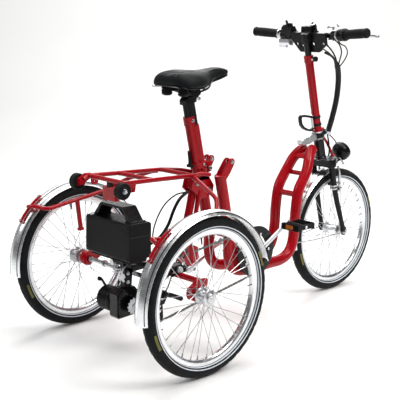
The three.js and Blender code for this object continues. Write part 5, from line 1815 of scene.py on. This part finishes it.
BELL, BELL_AXIS = (42, -98, 408), (0.15, 0.1, 1)
silver_bits = Shape(HEAD)
sleeve(
    silver_bits, 1, 141, 158,
    [(11.2, 0), (18.4, 0), (19.6, 0.1), (19.6, 0.4), (17, 0.5), (17, 0.8), (18.4, 1), (11.2, 1)],
)
sleeve(silver_bits, -1, 122, 129.5, [(11.2, 0), (17.4, 0), (18, 0.1), (18, 0.9), (17.4, 1), (11.2, 1)])
silver_bits.plate(
    [(16, 368), (40, 364), (46, 352), (38, 338), (22, 342), (14, 354)], 104, 152, [(30, 353, 6)],
)
silver_bits.plate([(24, 344), (36, 342), (34, 330), (26, 332)], 128, 164)
silver_bits.turn(
    [(0, 15), (9, 14), (17, 10.5), (22, 5), (23, 0), (21.6, 0), (19, 3), (0, 7)], BELL, BELL_AXIS, 44,
)
silver_bits.turn([(0, -8), (4, -8), (4, 5), (0, 5)], BELL, BELL_AXIS, 16)
silver_bits.piece("bell_and_bands", "handlebar_body", CAST, bevel=0.4)

display = Shape(HEAD)
display.plate([(12, 396), (46, 390), (50, 400), (44, 414), (18, 417)], -16, 34)
display.turn(
    both_ways([(11.2, -7), (15, -7), (15.6, -6)]), (BAR_FORWARD, 30, BAR_HEIGHT), LEFT, 32, ring=True,
)
display.turn([(0, -9), (9, -9), (11, -7), (11, 9), (9, 11), (0, 11)], (28, -18, 416), KNOB_AXIS, 28)
display.piece("assist_control_box", "handlebar_body", PLASTIC, bevel=2.4)


# ---------------------------------------------------------------- cables

CABLES = [
    (24, -62, 318), (70, -56, 290), (104, -46, 250), (118, -36, 200), (104, -28, 120), (78, -18, 50),
    (50, -8, -10),
]
bundle = Shape(HEAD).tube(spline(CABLES, 12), lambda t: 4.6 + 6.2 * min(1.0, max(0.0, (t - 0.2) / 0.1)), 28)
bundle_piece = bundle.stands("cable_bundle", None, SLEEVE)
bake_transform(bundle_piece)

ring_low = Shape(HEAD)
ring_low.turn(
    [(9.2, 0), (11.4, 0), (12, 1), (12, 10), (11.4, 11), (9.2, 11)], (48, -7.6, -16), (0.45, -0.12, 0.9),
    36, ring=True,
)
ring_low.block((22, -12, -15), (40, 0, -8))
ring_low.piece("cable_ring", "fork_body", REFLECTOR, bevel=0.6)

bar_cables = Shape(HEAD)
for radius, route in (
    (
        2.6,
        [(34, -72, 378), (48, -84, 366), (72, -92, 340), (92, -84, 304), (104, -62, 268), (108, -48, 242)],
    ),
    (2.6, [(34, 74, 378), (44, 40, 370), (52, -10, 356), (68, -48, 326), (90, -54, 284), (104, -46, 248)]),
    (
        2.4,
        [
            (26, -126, 366), (40, -124, 350), (76, -118, 328), (106, -100, 296), (116, -72, 262),
            (112, -48, 238),
        ],
    ),
    (2.4, [(30, 110, 372), (40, 70, 352), (50, 10, 336), (62, -40, 312), (84, -52, 278), (100, -44, 246)]),
    (2.4, [(20, -78, 352), (34, -74, 336), (60, -68, 310), (86, -60, 276), (102, -50, 250)]),
):
    bar_cables.tube(spline(route, 10), radius, 14)
bar_cables.piece("bar_cables", "handlebar_body", HOUSING)

lamp_lead = Shape(HEAD)
lamp_lead.tube(
    spline([(48, -8, -12), (62, -12, -28), (80, -16, -54), (94, -10, -76), (108, -4, -90)], 10), 2.2, 12,
)
lamp_lead.tube(
    spline([(48, -8, -12), (56, -2, -34), (62, 2, -60), (54, 4, -104), (30, 4, -128)], 10), 2.4, 12,
)
lamp_lead.piece("lamp_lead", "fork_body", HOUSING)

rear_leads = Shape()
REAR_LEAD = [
    (214, -8, 499), (176, -10, 478), (148, -12, 444), (124, -12, 398), (90, -11, 362), (40, -8, 340),
    (2, -4, 322), (-22, -3, 306),
]
GEAR_CABLE = [(208, -8, 498), (164, -6, 494), (118, -5, 470), (88, -5, 436), (66, -6, 392), (58, -8, 348)]
rear_leads.tube(spline(REAR_LEAD, 10), 5.5, 24)
rear_leads.tube(spline(GEAR_CABLE, 10), 2.5, 16)
rear_leads.stands("rear_cables", "rear_frame", HOUSING)
gear_lead = Shape()
gear_lead.tube(
    spline(
        [(190, -18, 300), (140, -50, 292), (90, -84, 280), (62, -98, 246), (46, -98, 214), (30, -98, 196)],
        10,
    ),
    2.4, 14,
)
gear_lead.tube(
    spline([(196, -16, 320), (150, -70, 330), (110, -120, 336), (84, -140, 326), (74, -142, 318)], 10), 2.4,
    14,
)
gear_lead.tube(
    spline([(-46, 40, 214), (-20, 60, 240), (16, 40, 286), (30, 10, 312), (10, -4, 326)], 10), 3.2, 14,
)
gear_lead.piece("carriage_cables", "rear_frame", HOUSING)


# ---------------------------------------------------------------- floor, light and camera

scene = bpy.context.scene


def studio_floor():
    """A broad pale sheet, swept up on the far side so that the main view shows no edge."""
    profile = [(-3.2, 0), (2.2, 0), (2.7, 0.05), (3.1, 0.2), (3.4, 0.5), (3.55, 1.0), (3.6, 4.2)]
    half_width = 5.5
    aim = math.radians(46.3)
    forward = Vector((math.cos(aim), math.sin(aim), 0))
    across = Vector((-math.sin(aim), math.cos(aim), 0))
    points = []
    for out, up in profile:
        points += [forward * out + across * w + Vector((0, 0, up)) for w in (-half_width, half_width)]
    faces = [(2 * i, 2 * i + 1, 2 * i + 3, 2 * i + 2) for i in range(len(profile) - 1)]
    mesh = bpy.data.meshes.new("studio_floor")
    mesh.from_pydata([tuple(p) for p in points], [], faces)
    floor = bpy.data.objects.new("studio_floor", mesh)
    scene.collection.objects.link(floor)
    floor.data.materials.append(PAPER)
    floor.data.shade_smooth()


studio_floor()

for name, place, size, energy, colour in (
    ("key_light", (0.6, -2.6, 3.2), (1.5, 1.5), 84, (1.0, 0.98, 0.95)),
    ("fill_light", (-2.6, 2.0, 2.6), (1.6, 1.6), 30, (0.97, 0.98, 1.0)),
    ("top_light", (0.0, 0.0, 3.8), (3.4, 3.4), 128, (1.0, 1.0, 1.0)),
    ("rim_light", (2.0, 1.8, 2.8), (1.6, 1.6), 44, (1.0, 1.0, 1.0)),
):
    lamp_data = bpy.data.lights.new(name, "AREA")
    lamp_data.shape = "RECTANGLE"
    lamp_data.size, lamp_data.size_y = size
    lamp_data.energy = energy
    lamp_data.color = colour
    light = bpy.data.objects.new(name, lamp_data)
    light.location = place
    light.rotation_euler = (Vector((0, 0, 0.45)) - Vector(place)).to_track_quat("-Z", "Y").to_euler()
    scene.collection.objects.link(light)

world = bpy.data.worlds.new("studio")
world.use_nodes = True
world.node_tree.nodes["Background"].inputs["Color"].default_value = (0.98, 0.98, 1.0, 1)
world.node_tree.nodes["Background"].inputs["Strength"].default_value = 0.15
scene.world = world
scene.view_settings.view_transform = "Standard"

# The view: from behind and to the rider's right, a little above.
AZIMUTH, PITCH, ROLL = math.radians(46.33), 0.1948, 0.015
forward = Vector((math.cos(AZIMUTH) * math.cos(PITCH), math.sin(AZIMUTH) * math.cos(PITCH), -math.sin(PITCH)))
right = Vector((math.sin(AZIMUTH), -math.cos(AZIMUTH), 0))
up = right.cross(forward)
right, up = (
    right * math.cos(ROLL) + up * math.sin(ROLL),
    up * math.cos(ROLL) - right * math.sin(ROLL),
)
camera_data = bpy.data.cameras.new("camera")
camera_data.lens = 78.38
camera_data.sensor_width = 36
camera_data.dof.use_dof = False
camera = bpy.data.objects.new("camera", camera_data)
pose = Matrix((right, up, -forward)).transposed().to_4x4()
pose.translation = Vector((-2.2539, -2.1265, 1.0404))
camera.matrix_world = pose
scene.collection.objects.link(camera)
scene.camera = camera
